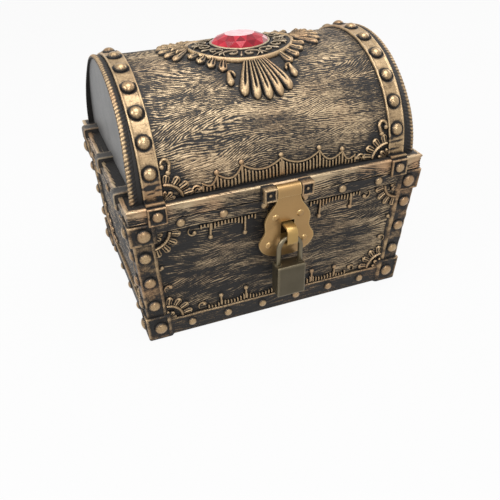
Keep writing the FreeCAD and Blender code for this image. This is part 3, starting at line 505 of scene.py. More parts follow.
# gold brushed over charcoal: the wear height (with painted light in it on some pieces) plus streaks and
# specks, less gold in the hollows and between parts by painted shade that also stands for the charcoal wash
# left there, cut sharp, chooses between the two
def agedFinish(name, slot, spec):
    start = newFinish(name, slot)
    worn = start.node("Attribute", {"attribute_name": "worn"}, output=2)
    grain = start.node("Attribute", {"attribute_name": "grain"}, output=1)
    place = start.node("TexCoord", output=3)
    if "pitch" in spec:
        streak = carvedLines(grain, spec) + 0.5
    else:
        streak = start.noise(stretched(grain, spec["stretch"]), 1.0, 3.0, 0.6)
    speck = start.noise(place, spec["speck"], 4.0, 0.65)
    drift = start.noise(place, spec["drift"], 2.0, 0.5)
    cast = start.noise(place, spec["cast"], 2.0, 0.5)
    # the occlusion node: painted shade in the hollows and between parts, standing also for the charcoal wash
    # left there
    sky = start.node("AmbientOcclusion", {"samples": 6}, {"Distance": spec["cavity"]}, 1)
    lift = worn + (streak - 0.5) * spec["streaks"] + (speck - 0.5) * spec["specks"]
    lift = lift + (drift - 0.5) * spec["patch"]
    mask = ((lift - (1 - sky) * spec["washAndShade"] - spec["edge"]) * spec["sharp"]).clamped()
    gold = start.mix((speck * 0.8 + lift * 0.8 - 0.55).clamped(), spec["deep"], spec["pale"])
    gold = start.mix(((drift - 0.48) * 6).clamped() * spec["rust"], gold, spec["copper"])
    dark = start.mix(speck, spec["charcoal"], spec["dust"])
    bump = start.node("Bump", {}, {
        "Strength": spec["bump"], "Distance": spec["bumpDeep"],
        "Height": streak * 0.5 + speck * 0.4 + cast * 0.6 + mask * 0.3})
    closeFinish(start, {
        "Base Color": start.mix(mask, dark, gold),
        "Roughness": spec["rough"] - mask * spec["gloss"] + (speck - 0.5) * 0.25,
        "Metallic": mask * spec["metal"], "Normal": bump, "Specular IOR Level": spec["shine"]})


agedBase = {"stretch": (0.14, 1.5, 1.0), "speck": 1100.0, "drift": 35.0, "cast": 420.0, "streaks": 0.6,
            "specks": 0.7, "patch": 0.4, "edge": 0.4, "sharp": 2.2, "bump": 0.4, "bumpDeep": 0.0004,
            "metal": 0.6, "rough": 0.55, "gloss": 0.16, "shine": 0.3, "cavity": 0.003, "washAndShade": 1.1,
            "rust": 0.4, "charcoal": (0.009, 0.0085, 0.0085), "dust": (0.022, 0.0195, 0.018),
            "deep": (0.18, 0.112, 0.057), "pale": (0.58, 0.42, 0.24), "copper": (0.27, 0.13, 0.065)}
woodBase = {**agedBase, "washAndShade": 0.5, "streaks": 1.0, "edge": 0.42, "sharp": 2.8, "bump": 0.6, "pitch": 1.04,
            "slow": 4.0, "quick": 2.4, "sway": 36.0, "fold": 10.0, "slant": 0.14, "dash": 0.27,
            "dashTight": 1.15, "line": 0.3, "break": 1.9, "band": 1.2, "patch": 0.28, "rust": 0.15,
            "deep": (0.17, 0.11, 0.062), "pale": (0.56, 0.43, 0.27)}
panelBase = {**woodBase, "slow": 1.8, "quick": 1.4, "fold": 17.0, "slant": 0.02, "dash": 0.13, "break": 1.7,
             "band": 1.9, "sharp": 2.5}
trimBase = {**agedBase, "stretch": (0.5, 0.5, 1.0), "edge": 0.3}
agedFinish("carvedWood", "carved_grain", woodBase)
agedFinish("panelWood", "carved_grain", panelBase)
agedFinish("rimWood", "carved_grain", {
    **panelBase, "slow": 3.0, "slant": 0.12, "rust": 0.75, "copper": (0.48, 0.28, 0.15), "band": 1.4})
agedFinish("antiqueTrim", "trim_bronze", trimBase)
agedFinish("mountGold", "trim_bronze", {**trimBase, "edge": 0.12, "washAndShade": 0.5, "rust": 0.2})
agedFinish("flangeGold", "trim_bronze", {
    **trimBase, "washAndShade": 0.9, "rust": 0.1, "deep": (0.16, 0.115, 0.07), "pale": (0.5, 0.4, 0.27)})
agedFinish("strapGold", "trim_bronze", {**trimBase, "stretch": (0.15, 1.3, 1.0), "streaks": 0.5})
agedFinish("clipWorn", "trim_bronze", {
    **trimBase, "stretch": (0.4, 0.4, 1.0), "edge": 0.5, "washAndShade": 0.4, "dust": (0.09, 0.085, 0.08),
    "deep": (0.2, 0.17, 0.13), "pale": (0.55, 0.46, 0.33)})
agedFinish("rivetGold", "rivet_bronze", {
    **trimBase, "stretch": (0.6, 0.6, 1.0), "streaks": 0.3, "metal": 0.85, "gloss": 0.26})


# solid metal: edges rubbed bright where the rounded normal leaves the face, grime and scuffs from noise
def metalFinish(name, slot, spec):
    start = newFinish(name, slot)
    place = start.node("TexCoord", output=3)
    face = start.node("NewGeometry", output=1)
    rounded = start.node("Bevel", {"samples": 6}, {"Radius": spec["edgeWidth"]})
    meet = start.node("VectorMath", {"operation": "DOT_PRODUCT"}, {0: face, 1: rounded}, 1)
    cloud = start.noise(place, spec["cloud"], 3.0, 0.55)
    speck = start.noise(place, spec["speck"], 4.0, 0.7)
    hair = start.noise(stretched(place, spec["brush"]), 1.0, 2.0, 0.5)
    edge = ((1 - meet) * spec["edgeGain"] + (speck - 0.5) * 0.5 * (1 - meet) * spec["edgeGain"]).clamped()
    body = start.mix((cloud * 1.6 - 0.3).clamped(), spec["deep"], spec["pale"])
    grime = ((cloud * 0.6 + speck * 0.6 - spec["clean"]) * 3).clamped()
    dirty = start.mix(grime * spec["grime"], body, spec["dirt"])
    bump = start.node("Bump", {}, {
        "Strength": spec["bump"], "Distance": spec["bumpDeep"], "Height": hair * 0.6 + speck * 0.4})
    closeFinish(start, {
        "Base Color": start.mix(edge * spec["rub"], dirty, spec["edge"]),
        "Roughness": spec["rough"] + (speck - 0.5) * 0.15 + (hair - 0.5) * 0.15 - edge * 0.1,
        "Metallic": spec["metal"], "Normal": bump})


metalBase = {"edgeWidth": 0.0006, "edgeGain": 5.0, "cloud": 90.0, "speck": 1400.0, "clean": 0.62,
             "grime": 0.6, "brush": (300.0, 300.0, 2500.0), "bump": 0.12, "bumpDeep": 0.0002, "rub": 0.8,
             "rough": 0.38, "metal": 0.75, "dirt": (0.05, 0.04, 0.03)}
metalFinish("panelGrey", "plain_panel", {
    **metalBase, "deep": (0.09, 0.09, 0.09), "pale": (0.165, 0.162, 0.159), "edge": (0.24, 0.19, 0.13),
    "metal": 0.1, "rough": 0.5, "bump": 0.2, "rub": 0.5, "grime": 0.3, "brush": (900.0, 900.0, 900.0)})
metalFinish("earBronze", "trim_bronze", {
    **metalBase, "deep": (0.16, 0.1, 0.05), "pale": (0.34, 0.22, 0.11), "edge": (0.6, 0.42, 0.22),
    "metal": 0.5})
metalFinish("haspBrass", "hasp_brass", {
    **metalBase, "deep": (0.33, 0.195, 0.075), "pale": (0.40, 0.245, 0.098), "edge": (0.62, 0.44, 0.2),
    "grime": 0.25, "rough": 0.36, "metal": 0.7, "edgeWidth": 0.001, "edgeGain": 8.0})
metalFinish("stapleBrass", "staple_brass", {
    **metalBase, "deep": (0.36, 0.225, 0.075), "pale": (0.45, 0.29, 0.1), "edge": (0.68, 0.49, 0.22),
    "grime": 0.3, "rough": 0.38, "metal": 0.7})
# the staple plate's brass is painted dark, as the shade seen through the hasp's slot
metalFinish("shadedPlateBrass", "staple_brass", {
    **metalBase, "deep": (0.06, 0.04, 0.018), "pale": (0.1, 0.066, 0.03), "edge": (0.4, 0.28, 0.13),
    "rough": 0.45})
metalFinish("shackleWire", "shackle_metal", {
    **metalBase, "deep": (0.13, 0.107, 0.066), "pale": (0.21, 0.175, 0.11), "edge": (0.42, 0.36, 0.23),
    "rough": 0.34})
metalFinish("lockBronze", "lock_bronze", {
    **metalBase, "deep": (0.07, 0.058, 0.036), "pale": (0.11, 0.092, 0.06), "edge": (0.46, 0.38, 0.24),
    "rough": 0.4, "edgeWidth": 0.0015, "edgeGain": 10.0, "grime": 0.5})
metalFinish("hingeBrass", "hinge_brass", {
    **metalBase, "deep": (0.3, 0.2, 0.08), "pale": (0.42, 0.28, 0.12), "edge": (0.6, 0.43, 0.2),
    "grime": 0.5})


# cut glass: each facet's painted lightness, standing for the light it reflects, runs from deep red to the
# painted pale pink reflection of the table
def gemFinish():
    start = newFinish("gemRed", "red_gem")
    facet = start.node("Attribute", {"attribute_name": "worn"}, output=2)
    place = start.node("TexCoord", output=3)
    cloud = start.noise(place, 260.0, 2.0, 0.5)
    colour = start.node("ValToRGB", {"stops": [
        (0.0, (0.13, 0.003, 0.01)), (0.35, (0.38, 0.01, 0.025)), (0.62, (0.6, 0.045, 0.07)),
        (0.8, (0.66, 0.24, 0.27)), (1.0, (0.7, 0.52, 0.53))]}, {"Fac": facet + (cloud - 0.5) * 0.25})
    closeFinish(start, {
        "Base Color": colour, "Roughness": 0.12 + cloud * 0.06, "IOR": 1.5, "Specular IOR Level": 0.35})


gemFinish()
print("finishes:", len(finishes))


wallGap = 310        # keeps the grain of one wall far from the next one's


# around a rectangle: x and y as shares of its half sizes, and the wall's number from the front on
def perimeter(along, deep):
    a = np.linspace(-1, 1, along, endpoint=False)
    d = np.linspace(-1, 1, deep, endpoint=False)
    cx = np.concatenate([a, np.ones(deep), -a, -np.ones(deep)])
    cy = np.concatenate([-np.ones(along), d, np.ones(along), -d])
    wall = np.repeat(np.arange(4), [along, deep, along, deep])
    return cx, cy, wall


# the run along a rectangle's walls: x on the front and back, y on the sides, plus a gap for each wall
def runAlong(cx, cy, wall, sizeX, sizeY):
    return np.where(wall % 2 == 1, cy * sizeY, cx * sizeX) + wall * wallGap


wallSpec = {"along": 92, "deep": 68, "rows": 168, "relief": 0.3, "thick": 4.0, "floor": 4.0, "seed": 11,
            "insideRows": (64, 44, 24), "tone": 0.11, "ridge": 0.12, "patch": 0.24, "inside": -0.3,
            "frontLit": (0.04, 0.27), "litRun": (-40, 70), "otherLit": 0.08, "fade": 16, "footFade": 6,
            "topFade": 7, "board": (-0.5, 0.3), "boardOver": 0.3,
            "step": 0.04}      # flush faces lie this far apart, so that no two share a plane


# box walls: a profile from the underside up the outside, over the mouth and down the inside, carried around
# a rectangle, and a board on the floor
def boxWalls():
    spec = wallSpec
    step = spec["step"]
    floor = spec["floor"]
    cx, cy, wall = perimeter(spec["along"], spec["deep"])
    lowZ = footHigh[2] - 1
    highZ = topLow[2] + 1
    mouth = shellHigh[2] - step
    outer = np.concatenate([[step, lowZ / 2], np.linspace(lowZ, highZ, spec["rows"]), [mouth]])
    inner = np.array([mouth, *spec["insideRows"], floor])
    z = np.concatenate([outer, inner])[:, None]
    inside = np.repeat([0, spec["thick"]], [len(outer), len(inner)])[:, None]
    u = runAlong(cx, cy, wall, halfWide(z), halfDeep(z))
    ridge = carvedStrokes(u, z, spec["seed"])
    patch = smoothStep(0.3, 0.75, latticeNoise(u, z, (0.028, 0.06), spec["seed"] + 7))
    middle = smoothStep(0, spec["fade"], z - footHigh[2] - spec["footFade"])
    middle = middle * smoothStep(0, spec["fade"], topLow[2] - spec["topFade"] - z)
    shown = (inside == 0) & (z >= lowZ) & (z <= highZ)
    h = np.where(shown, (ridge - 1) * spec["relief"], 0) - inside
    # painted light: the front wall's gold share rises towards its right, and the other walls' a little
    litLow, litRise = spec["frontLit"]
    lit = np.where(wall == 0, litLow + litRise * smoothStep(*spec["litRun"], u), spec["otherLit"])
    rub = spec["tone"] + spec["ridge"] * ridge + spec["patch"] * patch * (0.35 + 0.65 * middle) + lit
    worn = np.where(shown, rub, spec["inside"])
    points = joined(cx * (panelWide(z) + h), cy * (panelDeep(z) + h), z)
    # the board has its own grain
    corner = np.array([(1, -1), (1, 1), (-1, 1), (-1, -1)]) * (panelWide(floor), panelDeep(floor))
    corner = corner - np.sign(corner) * (spec["thick"] - spec["boardOver"])
    board = np.stack([np.column_stack([corner, np.full(4, floor + lift)]) for lift in spec["board"]])
    board = loft(board, spec["inside"], np.broadcast_to(corner, (2, 4, 2)))
    newPiece("box_walls", [loft(points, worn, joined(u, z)), board], "box", "panelWood", ["box_shell"])


bandSpec = {"along": 112, "deep": 84, "edge": 0.7, "relief": 0.22, "sink": 0.8, "seed": 31, "topRows": 7,
            "topGold": 0.52, "topEdge": 0.62, "footRows": 13, "footGold": 0.5, "footEdge": 0.85}


# a band around the box: a flat profile with rounded edges, carried round a rectangle, with strokes along it
def ringBand(lowZ, highZ, rows, seed, gold, edgeGold):
    spec = bandSpec
    cx, cy, wall = (column[:, None] for column in perimeter(spec["along"], spec["deep"]))
    z = np.concatenate([[lowZ], edgeSteps(lowZ, highZ, rows), [highZ]])[None]
    u = runAlong(cx, cy, wall, panelWide(z), panelDeep(z))
    ridge = carvedStrokes(u, z, seed)
    border = np.minimum(z - lowZ, highZ - z)
    carved = (ridge - 0.6) * spec["relief"] * smoothStep(0.4, 1.2, border)
    h = panelStep - edgeDrop(border, spec["edge"]) + carved
    h[:, [0, -1]] = -spec["sink"]
    near = 1 - smoothStep(0.5, 1.5, border)
    rub = 0.75 + 0.35 * latticeNoise(u, z, (0.12, 0.2), seed + 5)
    worn = ridge * gold * (1 - near) + near * edgeGold * rub
    points = joined(cx * (panelWide(z) + h), cy * (panelDeep(z) + h), z)
    return loft(points, worn, joined(u, z), closed=True)


# the top band and the foot band, a step inside the box's own top and underside
def boxBands():
    spec = bandSpec
    step = 2 * wallSpec["step"]
    seed = spec["seed"]
    top = ringBand(topLow[2], topHigh[2] - step, spec["topRows"], seed, spec["topGold"], spec["topEdge"])
    newPiece("box_band_top", [top], "box", "panelWood", ["box_top_band"])
    foot = ringBand(step, footHigh[2], spec["footRows"], seed + 3, spec["footGold"], spec["footEdge"])
    newPiece("box_band_foot", [foot], "box", "antiqueTrim", ["box_bottom_band"])


cornerSpec = {"strap": 11.0, "strapRows": 60, "strapUnder": 0.3, "topWide": 13.5, "topTall": 13.0,
              "footWide": 13.5, "footTall": 17.5, "cap": 1.2, "capRows": 12, "capSeed": 61, "bend": 1.3,
              "columns": 7, "sink": 0.7, "cornerSink": 2.2, "edge": 0.5, "rivet": 3.7, "rivetTall": 2.5,
              "rivetSunk": 0.1, "rivetCount": 3, "hollow": 1.3, "hollowDeep": 0.35, "lip": 0.4, "dents": 0.35,
              "capRivet": 4.2, "capRivetTall": 2.8, "capRivetSunk": 0.4, "capFrame": 0.25, "capField": 0.55,
              "capCorner": 0.35, "seed": 51}
corners = {"front_right": (1, -1), "front_left": (-1, -1), "back_right": (1, 1), "back_left": (-1, 1)}


# a plate bent round a box corner: columns run from the front, round a small arc, to the side; rows run up
def cornerWrap(sx, sy, lowZ, highZ, reach, height, worn, rows):
    spec = cornerSpec
    sink = spec["sink"]
    radius = spec["bend"]
    half = radius * math.pi / 4
    steps = edgeSteps(0, reach, spec["columns"])
    a = np.concatenate([-steps[::-1][:-1], steps])[None]
    z = edgeSteps(lowZ, highZ, rows)[:, None]
    top = height(a, z)

    # straight along both faces, a quarter circle between them
    def bent(a, h):
        turn = np.clip((a + half) / (2 * half), 0, 1) * math.pi / 2
        x = panelWide(z) + h - radius * (1 - np.sin(turn)) - np.clip(-a - half, 0, None)
        y = panelDeep(z) + h - radius * (1 - np.cos(turn)) - np.clip(a - half, 0, None)
        return joined(sx * x, sy * y, z)
    under = bent(np.array([[reach, 0.0, -reach]]), np.array([[-sink, -spec["cornerSink"], -sink]]))
    points = np.concatenate([bent(a, top), under], 1)
    hidden = np.zeros((len(z), 3))
    tones = np.concatenate([np.broadcast_to(worn(a, z), top.shape), hidden], 1)
    across = np.concatenate([np.broadcast_to(a, top.shape), hidden], 1)
    return loft(points, tones, joined(across, z))


# heights of the strap's rivets: the middles of even shares between the caps
def strapRivetLevels():
    spec = cornerSpec
    low = spec["footTall"]
    rise = topHigh[2] - spec["topTall"] - low
    return low + rise * (np.arange(spec["rivetCount"]) + 0.5) / spec["rivetCount"]


# corner straps: raised borders, hollows around the rivets, hammer dents
def cornerStraps():
    spec = cornerSpec
    levels = strapRivetLevels()
    rivet = spec["rivet"]
    lowZ = footHigh[2] - spec["strapUnder"]
    highZ = topLow[2] + spec["strapUnder"]

    # the way to the nearest rivet's middle
    def gap(a, z):
        return np.min(np.hypot(np.abs(a)[..., None] - spec["strap"] / 2, z[..., None] - levels), -1)
    for number, (corner, (sx, sy)) in enumerate(corners.items()):
        seed = spec["seed"] + 4 * number

        # the plate less its rounded edges, with a lip along them, dents, and a hollow at each rivet
        def height(a, z):
            border = spec["strap"] - np.abs(a)
            dents = latticeNoise(a, z, (0.35, 0.3), seed) - 0.5
            lip = spec["lip"] * (1 - smoothStep(0.8, 1.7, border))
            hollow = spec["hollowDeep"] * (1 - smoothStep(rivet, rivet + spec["hollow"], gap(a, z)))
            return panelStep - edgeDrop(border, spec["edge"]) + lip + spec["dents"] * dents - hollow

        # an uneven rub, brighter along the borders and the corner, darker in the hollows
        def worn(a, z):
            border = spec["strap"] - np.abs(a)
            rub = 0.14 + 0.5 * latticeNoise(a, z, (0.25, 0.4), seed + 1)
            rub = rub + 0.3 * (1 - smoothStep(0.5, 1.5, border))
            rub = rub + 0.3 * (1 - smoothStep(0.3, 1.3, np.abs(a)))
            return rub * (0.35 + 0.65 * smoothStep(rivet - 0.1, rivet - 0.1 + spec["hollow"], gap(a, z)))
        wrap = cornerWrap(sx, sy, lowZ, highZ, spec["strap"], height, worn, spec["strapRows"])
        newPiece("strap_" + corner, [wrap], "box", "antiqueTrim", ["box_strap_" + corner])


# corner caps: a raised frame on each face and along the corner, with a sunk field inside
def cornerCaps():
    spec = cornerSpec
    seed = spec["capSeed"]
    for name, node, lowZ, highZ, reach in (
            ("box_caps_top", "box_top_caps", topHigh[2] - spec["topTall"], topHigh[2], spec["topWide"]),
            ("box_caps_foot", "box_bottom_caps", 0.0, spec["footTall"], spec["footWide"])):

        # the way to the nearest edge of a face
        def border(a, z):
            sideways = np.minimum(reach - np.abs(a), np.abs(a) + spec["capCorner"])
            return np.minimum(sideways, np.minimum(z - lowZ, highZ - z))

        # the frame's height near an edge, the field's further in
        def height(a, z):
            field = smoothStep(1.0, 1.9, border(a, z))
            drop = edgeDrop(border(a, z), spec["edge"])
            return panelStep + spec["cap"] - drop + spec["capFrame"] * (1 - field) - spec["capField"] * field

        # a bright frame and a dark field, both uneven
        def worn(a, z):
            field = smoothStep(0.9, 1.8, border(a, z))
            frameTone = 0.3 + 0.6 * latticeNoise(a, z, (0.3, 0.3), seed)
            fieldTone = 0.02 + 0.5 * latticeNoise(a, z, (0.2, 0.45), seed + 2)
            return (1 - field) * frameTone + field * fieldTone
        wraps = [cornerWrap(sx, sy, lowZ, highZ, reach, height, worn, spec["capRows"])
                 for sx, sy in corners.values()]
        newPiece(name, wraps, "box", "antiqueTrim", [node])


# rows of small rivets on the bands: how far each row stops from the box's corners, its level, and the level
# that the corners are taken at
bandRivetSpec = {"radius": 2.85, "tall": 2.1, "sunk": 0.1, "longCount": 6, "shortCount": 4}
bandRivets = {
    "box_band_top_rivets": {
        "node": "box_top_band_rivets", "longEnd": 28.0, "shortEnd": 30.6, "level": 81.0, "cornerAt": 84.0},
    "box_band_foot_rivets": {
        "node": "box_bottom_band_rivets", "longEnd": 26.0, "shortEnd": 27.3, "level": 7.0, "cornerAt": 0.0}}


# domes on straps and caps, mirrored to both ends of each wall, then an even row on each side of both bands
def boxRivets():
    spec = cornerSpec
    levels = strapRivetLevels()
    capLevels = np.array([topHigh[2] - spec["topTall"] / 2, spec["footTall"] / 2])
    capReach = np.array([spec["topWide"] / 2, spec["footWide"] / 2])
    strapBase = panelStep - spec["rivetSunk"]
    capBase = panelStep + spec["cap"] - spec["capRivetSunk"]
    heads = []
    for side in wallTurns:
        place = wallPlace(side)
        half = halfDeep if side in sideSigns else halfWide
        for sign in (-1, 1):
            centres = joined(sign * (half(levels) - spec["strap"] / 2), levels)
            heads.append(domes(place, centres, spec["rivet"], spec["rivetTall"], base=strapBase))
            centres = joined(sign * (half(capLevels) - capReach), capLevels)
            heads.append(domes(place, centres, spec["capRivet"], spec["capRivetTall"], base=capBase))
    newPiece("box_rivets", heads, "box", "rivetGold", ["box_corner_rivets"])
    spec = bandRivetSpec
    base = panelStep - spec["sunk"]
    for name, row in bandRivets.items():
        heads = []
        for side in wallTurns:
            if side in sideSigns:
                reach = halfDeep(row["cornerAt"]) - row["shortEnd"]
                count = spec["shortCount"]
            else:
                reach = halfWide(row["cornerAt"]) - row["longEnd"]
                count = spec["longCount"]
            centres = joined(np.linspace(-reach, reach, count), row["level"])
            heads.append(domes(wallPlace(side), centres, spec["radius"], spec["tall"], base=base))
        newPiece(name, heads, "box", "rivetGold", [row["node"]])


fanSpec = {"ring": 10.4, "ringHalf": 1.15, "petals": 4, "petalFrom": 11.6, "petalTo": 17.0,
           "petalHalf": 2.65, "rise": 1.9, "lobes": (0.14, 0.5, 0.86), "lobeFrom": 0.9,
           "lobeTo": (6.8, 7.4, 6.8), "lobeHalf": (1.5, 2.0, 1.5), "lobeTall": 1.15}


# a corner fan: a quarter ring, shell petals outside it and a leaf inside; wide and tall stretch it
def fanParts(place, u0, v0, su, sv, wide=1.0, tall=1.0):
    spec = fanSpec
    rise = spec["rise"]
    quarter = math.pi / 2

    # polar place in the corner
    def at(r, angle):
        return joined(u0 + su * wide * r * np.cos(angle), v0 + sv * tall * r * np.sin(angle))
    arc = np.linspace(0.02, quarter - 0.02, 22)
    mid = (np.arange(spec["petals"]) + 0.5) / spec["petals"] * quarter
    lobes = np.array(spec["lobes"]) * quarter
    return [strokes(place, at(spec["ring"], arc), spec["ringHalf"], rise, blunt=0.1, low=0.0),
            leaves(place, at(spec["petalFrom"], mid), at(spec["petalTo"], mid), spec["petalHalf"], rise,
                   grooves=2, root=0.75, bright=1.2),
            leaves(place, at(spec["lobeFrom"], lobes), at(np.array(spec["lobeTo"]), lobes), spec["lobeHalf"],
                   rise * spec["lobeTall"], grooves=1, root=0.4)]


# commas beside each fan: size, rise, and steps along and up from the fan's corner; the tail's angles are in
# radians, and the other values are shares of a comma's size or rise
commaSpec = {"size": 2.5, "rise": 1.5, "places": ((23.4, 4.4), (3.4, 23.6)), "from": 0.6, "turn": 3.6,
             "near": 0.55, "grow": 0.75, "tail": 0.42, "thin": 0.75, "sag": 0.4, "ballAt": (0.35, 0.3),
             "ball": 0.62, "ballTall": 1.15}


# a comma: a ball with a tail that curls round it, growing away as it thins
def commaParts(place, u, v, su, sv, size, rise):
    spec = commaSpec
    t = np.linspace(0, 1, 16)
    angle = spec["from"] + t * spec["turn"]
    r = size * (spec["near"] + spec["grow"] * t)
    path = joined(u + su * r * np.cos(angle), v + sv * r * np.sin(angle))
    taper = size * spec["tail"] * (1 - spec["thin"] * t)
    ballU, ballV = spec["ballAt"]
    ball = [[u + su * size * ballU, v + sv * size * ballV]]
    return [strokes(place, path, taper[None], rise * (1 - spec["sag"] * t)[None], sides=6),
            domes(place, ball, size * spec["ball"], rise * spec["ballTall"], sides=10)]


# a fan and two commas in each corner of the front and side panels
def boxFans():
    spec = commaSpec
    for name, node, side, half in (
            ("fans_front", "box_front_fans", "front", halfWide),
            ("fans_right", "box_side_fans_right", "right", halfDeep),
            ("fans_left", "box_side_fans_left", "left", halfDeep)):
        parts = []
        place = wallPlace(side)
        for z, sv in ((footHigh[2], 1), (topLow[2], -1)):
            reach = half(z) - cornerSpec["strap"]
            for su in (-1, 1):
                parts += fanParts(place, su * reach, z, -su, sv)
                for along, up in spec["places"]:
                    u = su * (reach - along)
                    parts += commaParts(place, u, z + sv * up, -su, sv, spec["size"], spec["rise"])
        newPiece(name, parts, "box", "antiqueTrim", [node])


combSpec = {"bar": 0.78, "pitch": 2.05, "inset": 0.6, "foot": 0.3, "rise": 1.5, "ball": 1.75, "neck": 0.9,
            "line": 0.7, "footLine": 0.6, "least": 1.6, "steps": 9, "shoulder": 0.62, "swag": 0.36,
            "top": [(17.0, 8.05), (23.7, 12.2), (44.47, 10.25), (50.5, 6.95)],     # each peak's place, height
            "low": [(4.5, 7.0), (22.56, 9.6), (38.9, 8.45), (47.5, 6.05)]}


# a comb: close bars under a line of swags that sag between peaks, a ball on each inner peak
def combParts(place, peaks, level, sv, shoulder, swag, crown):
    spec = combSpec
    rise = spec["rise"]
    peaks = np.asarray(peaks, float)
    first = peaks[0, 0]
    last = peaks[-1, 0]
    count = int((last - first) / spec["pitch"]) + 1
    u = np.linspace(first + spec["inset"], last - spec["inset"], count)

    # swag height at u: straight between shoulders, less a parabola that sags to the swag's low
    def swagLine(u):
        i = np.clip(np.searchsorted(peaks[:, 0], u, side="right") - 1, 0, len(peaks) - 2)
        t = (u - peaks[i, 0]) / (peaks[i + 1, 0] - peaks[i, 0])
        chord = (peaks[i, 1] * (1 - t) + peaks[i + 1, 1] * t) * shoulder
        low = np.minimum(peaks[i, 1], peaks[i + 1, 1]) * swag
        return np.maximum(chord - (chord - low) * 4 * t * (1 - t), spec["least"])

    # upright lines from the foot to each top
    def uprights(u, tops):
        t = np.linspace(0, 1, spec["steps"])
        return joined(u[:, None], level + sv * (spec["foot"] + (tops[:, None] - spec["foot"]) * t))
    tops = swagLine(u) - (0.5 if crown else 0.0)
    inner = peaks[1:-1]
    balls = joined(inner[:, 0], level + sv * inner[:, 1])
    parts = [strokes(place, uprights(u, tops), spec["bar"], rise, sides=6, low=0.0),
             domes(place, balls, spec["ball"], rise * 1.25, sides=12),
             strokes(place, uprights(inner[:, 0], inner[:, 1]), spec["neck"], rise * 1.05, sides=6, low=0.1)]
    if crown:
        line = np.linspace(first, last, 260)
        path = joined(line, level + sv * swagLine(line))
        parts.append(strokes(place, path, spec["line"], rise * 1.15, sides=6, blunt=0.02, low=0.1))
        foot = joined(np.linspace(first, last, 60), level + sv * 0.5)
        parts.append(strokes(place, foot, spec["footLine"], rise * 0.7, sides=6, blunt=0.02, low=0.1,
                             high=0.6))
    return parts


# combs hang from the top band and stand on the foot band, mirrored about the middle
def boxCombs():
    spec = combSpec
    place = wallPlace("front")
    for name, node, half, level, sv in (
            ("combs_top", "box_top_combs", spec["top"], topLow[2], -1),
            ("combs_foot", "box_bottom_combs", spec["low"], footHigh[2], 1)):
        parts = []
        for sign in (-1, 1):
            peaks = sorted((sign * u, v) for u, v in half)
            parts += combParts(place, peaks, level, sv, spec["shoulder"], spec["swag"], False)
        newPiece(name, parts, "box", "antiqueTrim", [node])


boxWalls()
boxBands()
cornerStraps()
cornerCaps()
boxRivets()
boxFans()
boxCombs()
print("box done")


# where the ground is dark: around the gem, under the front and back fans, at the front corners
lidSpec = {"rows": 84, "run": 500, "innerRun": 60, "relief": 0.3, "thick": 3.4, "seed": 71, "inside": -0.4,
           "tone": 0.43, "patch": 0.26, "ridge": 0.16, "endShade": 0.36, "endRun": (50, 68), "endShift": 4,
           "ground": 0.4, "gemGround": (45, 32), "fanGround": (21, 29, 17), "cornerGround": (68, 15, 21)}


# the lid's arch: strokes along x on the outside of a half ellipse, a plain inside, filled ends
def lidArch():
    spec = lidSpec
    x = np.linspace(archLow[0], archHigh[0], spec["rows"])[:, None]
    s = np.linspace(0, archLength, spec["run"])[None]
    back = np.linspace(archLength, 0, spec["innerRun"])[None]
    ridge = carvedStrokes(x, s, spec["seed"])
    carved = (ridge - 1) * spec["relief"]
    carved[[0, -1]] = 0
    points = np.concatenate([archPlace(x, s, carved), archPlace(x, back, -spec["thick"])], 1)
    patch = smoothStep(0.2, 0.75, latticeNoise(x, s, (0.028, 0.075), spec["seed"] + 9))
    near = smoothStep(*spec["endRun"], np.abs(x + spec["endShift"]))
    y = archPlace(0.0, s, 0.0)[..., 1]
    gemX, gemY = spec["gemGround"]
    fanX, fanY, fanHalf = spec["fanGround"]
    cornerX, cornerNear, cornerFar = spec["cornerGround"]
    shade = joined(1 - smoothStep(0.85, 1.2, np.hypot(x / gemX, y / gemY)),
                   1 - smoothStep(0.8, 1.3, np.hypot(x / fanX, (np.abs(y) - fanY) / fanHalf)),
                   1 - smoothStep(cornerNear, cornerFar, np.hypot(np.abs(x) - cornerX, s))).max(-1)
    rub = (spec["tone"] + spec["patch"] * patch + spec["ridge"] * ridge) * (1 - spec["endShade"] * near)
    rub = rub - spec["ground"] * shade
    worn = np.concatenate([rub, np.full((spec["rows"], spec["innerRun"]), spec["inside"])], 1)
    grain = joined(x, np.concatenate([s, back], 1))
    newPiece("lid_arch", [loft(points, worn, grain)], "lid", "carvedWood", ["lid_shell"])


# the ledge's six points step in along the rim's top and back out along its underside
rimSpec = {"along": 120, "deep": 90, "rows": 9, "bead": 0.45, "beadDown": 0.9, "beadHalf": 0.6,
           "relief": 0.45, "edge": 0.5, "back": 0.2, "tone": 0.37, "ridge": 0.42, "glintTone": 0.88,
           "lowTone": 0.6, "wander": 0.5, "ledge": (1.2, 2.2, 10.0, 10.0, 1.3, 0.9),
           "ledgeWorn": (0.9, 0.1, -0.2, -0.3, -0.3, 0.1), "ledgeDown": 0.05, "seed": 91}


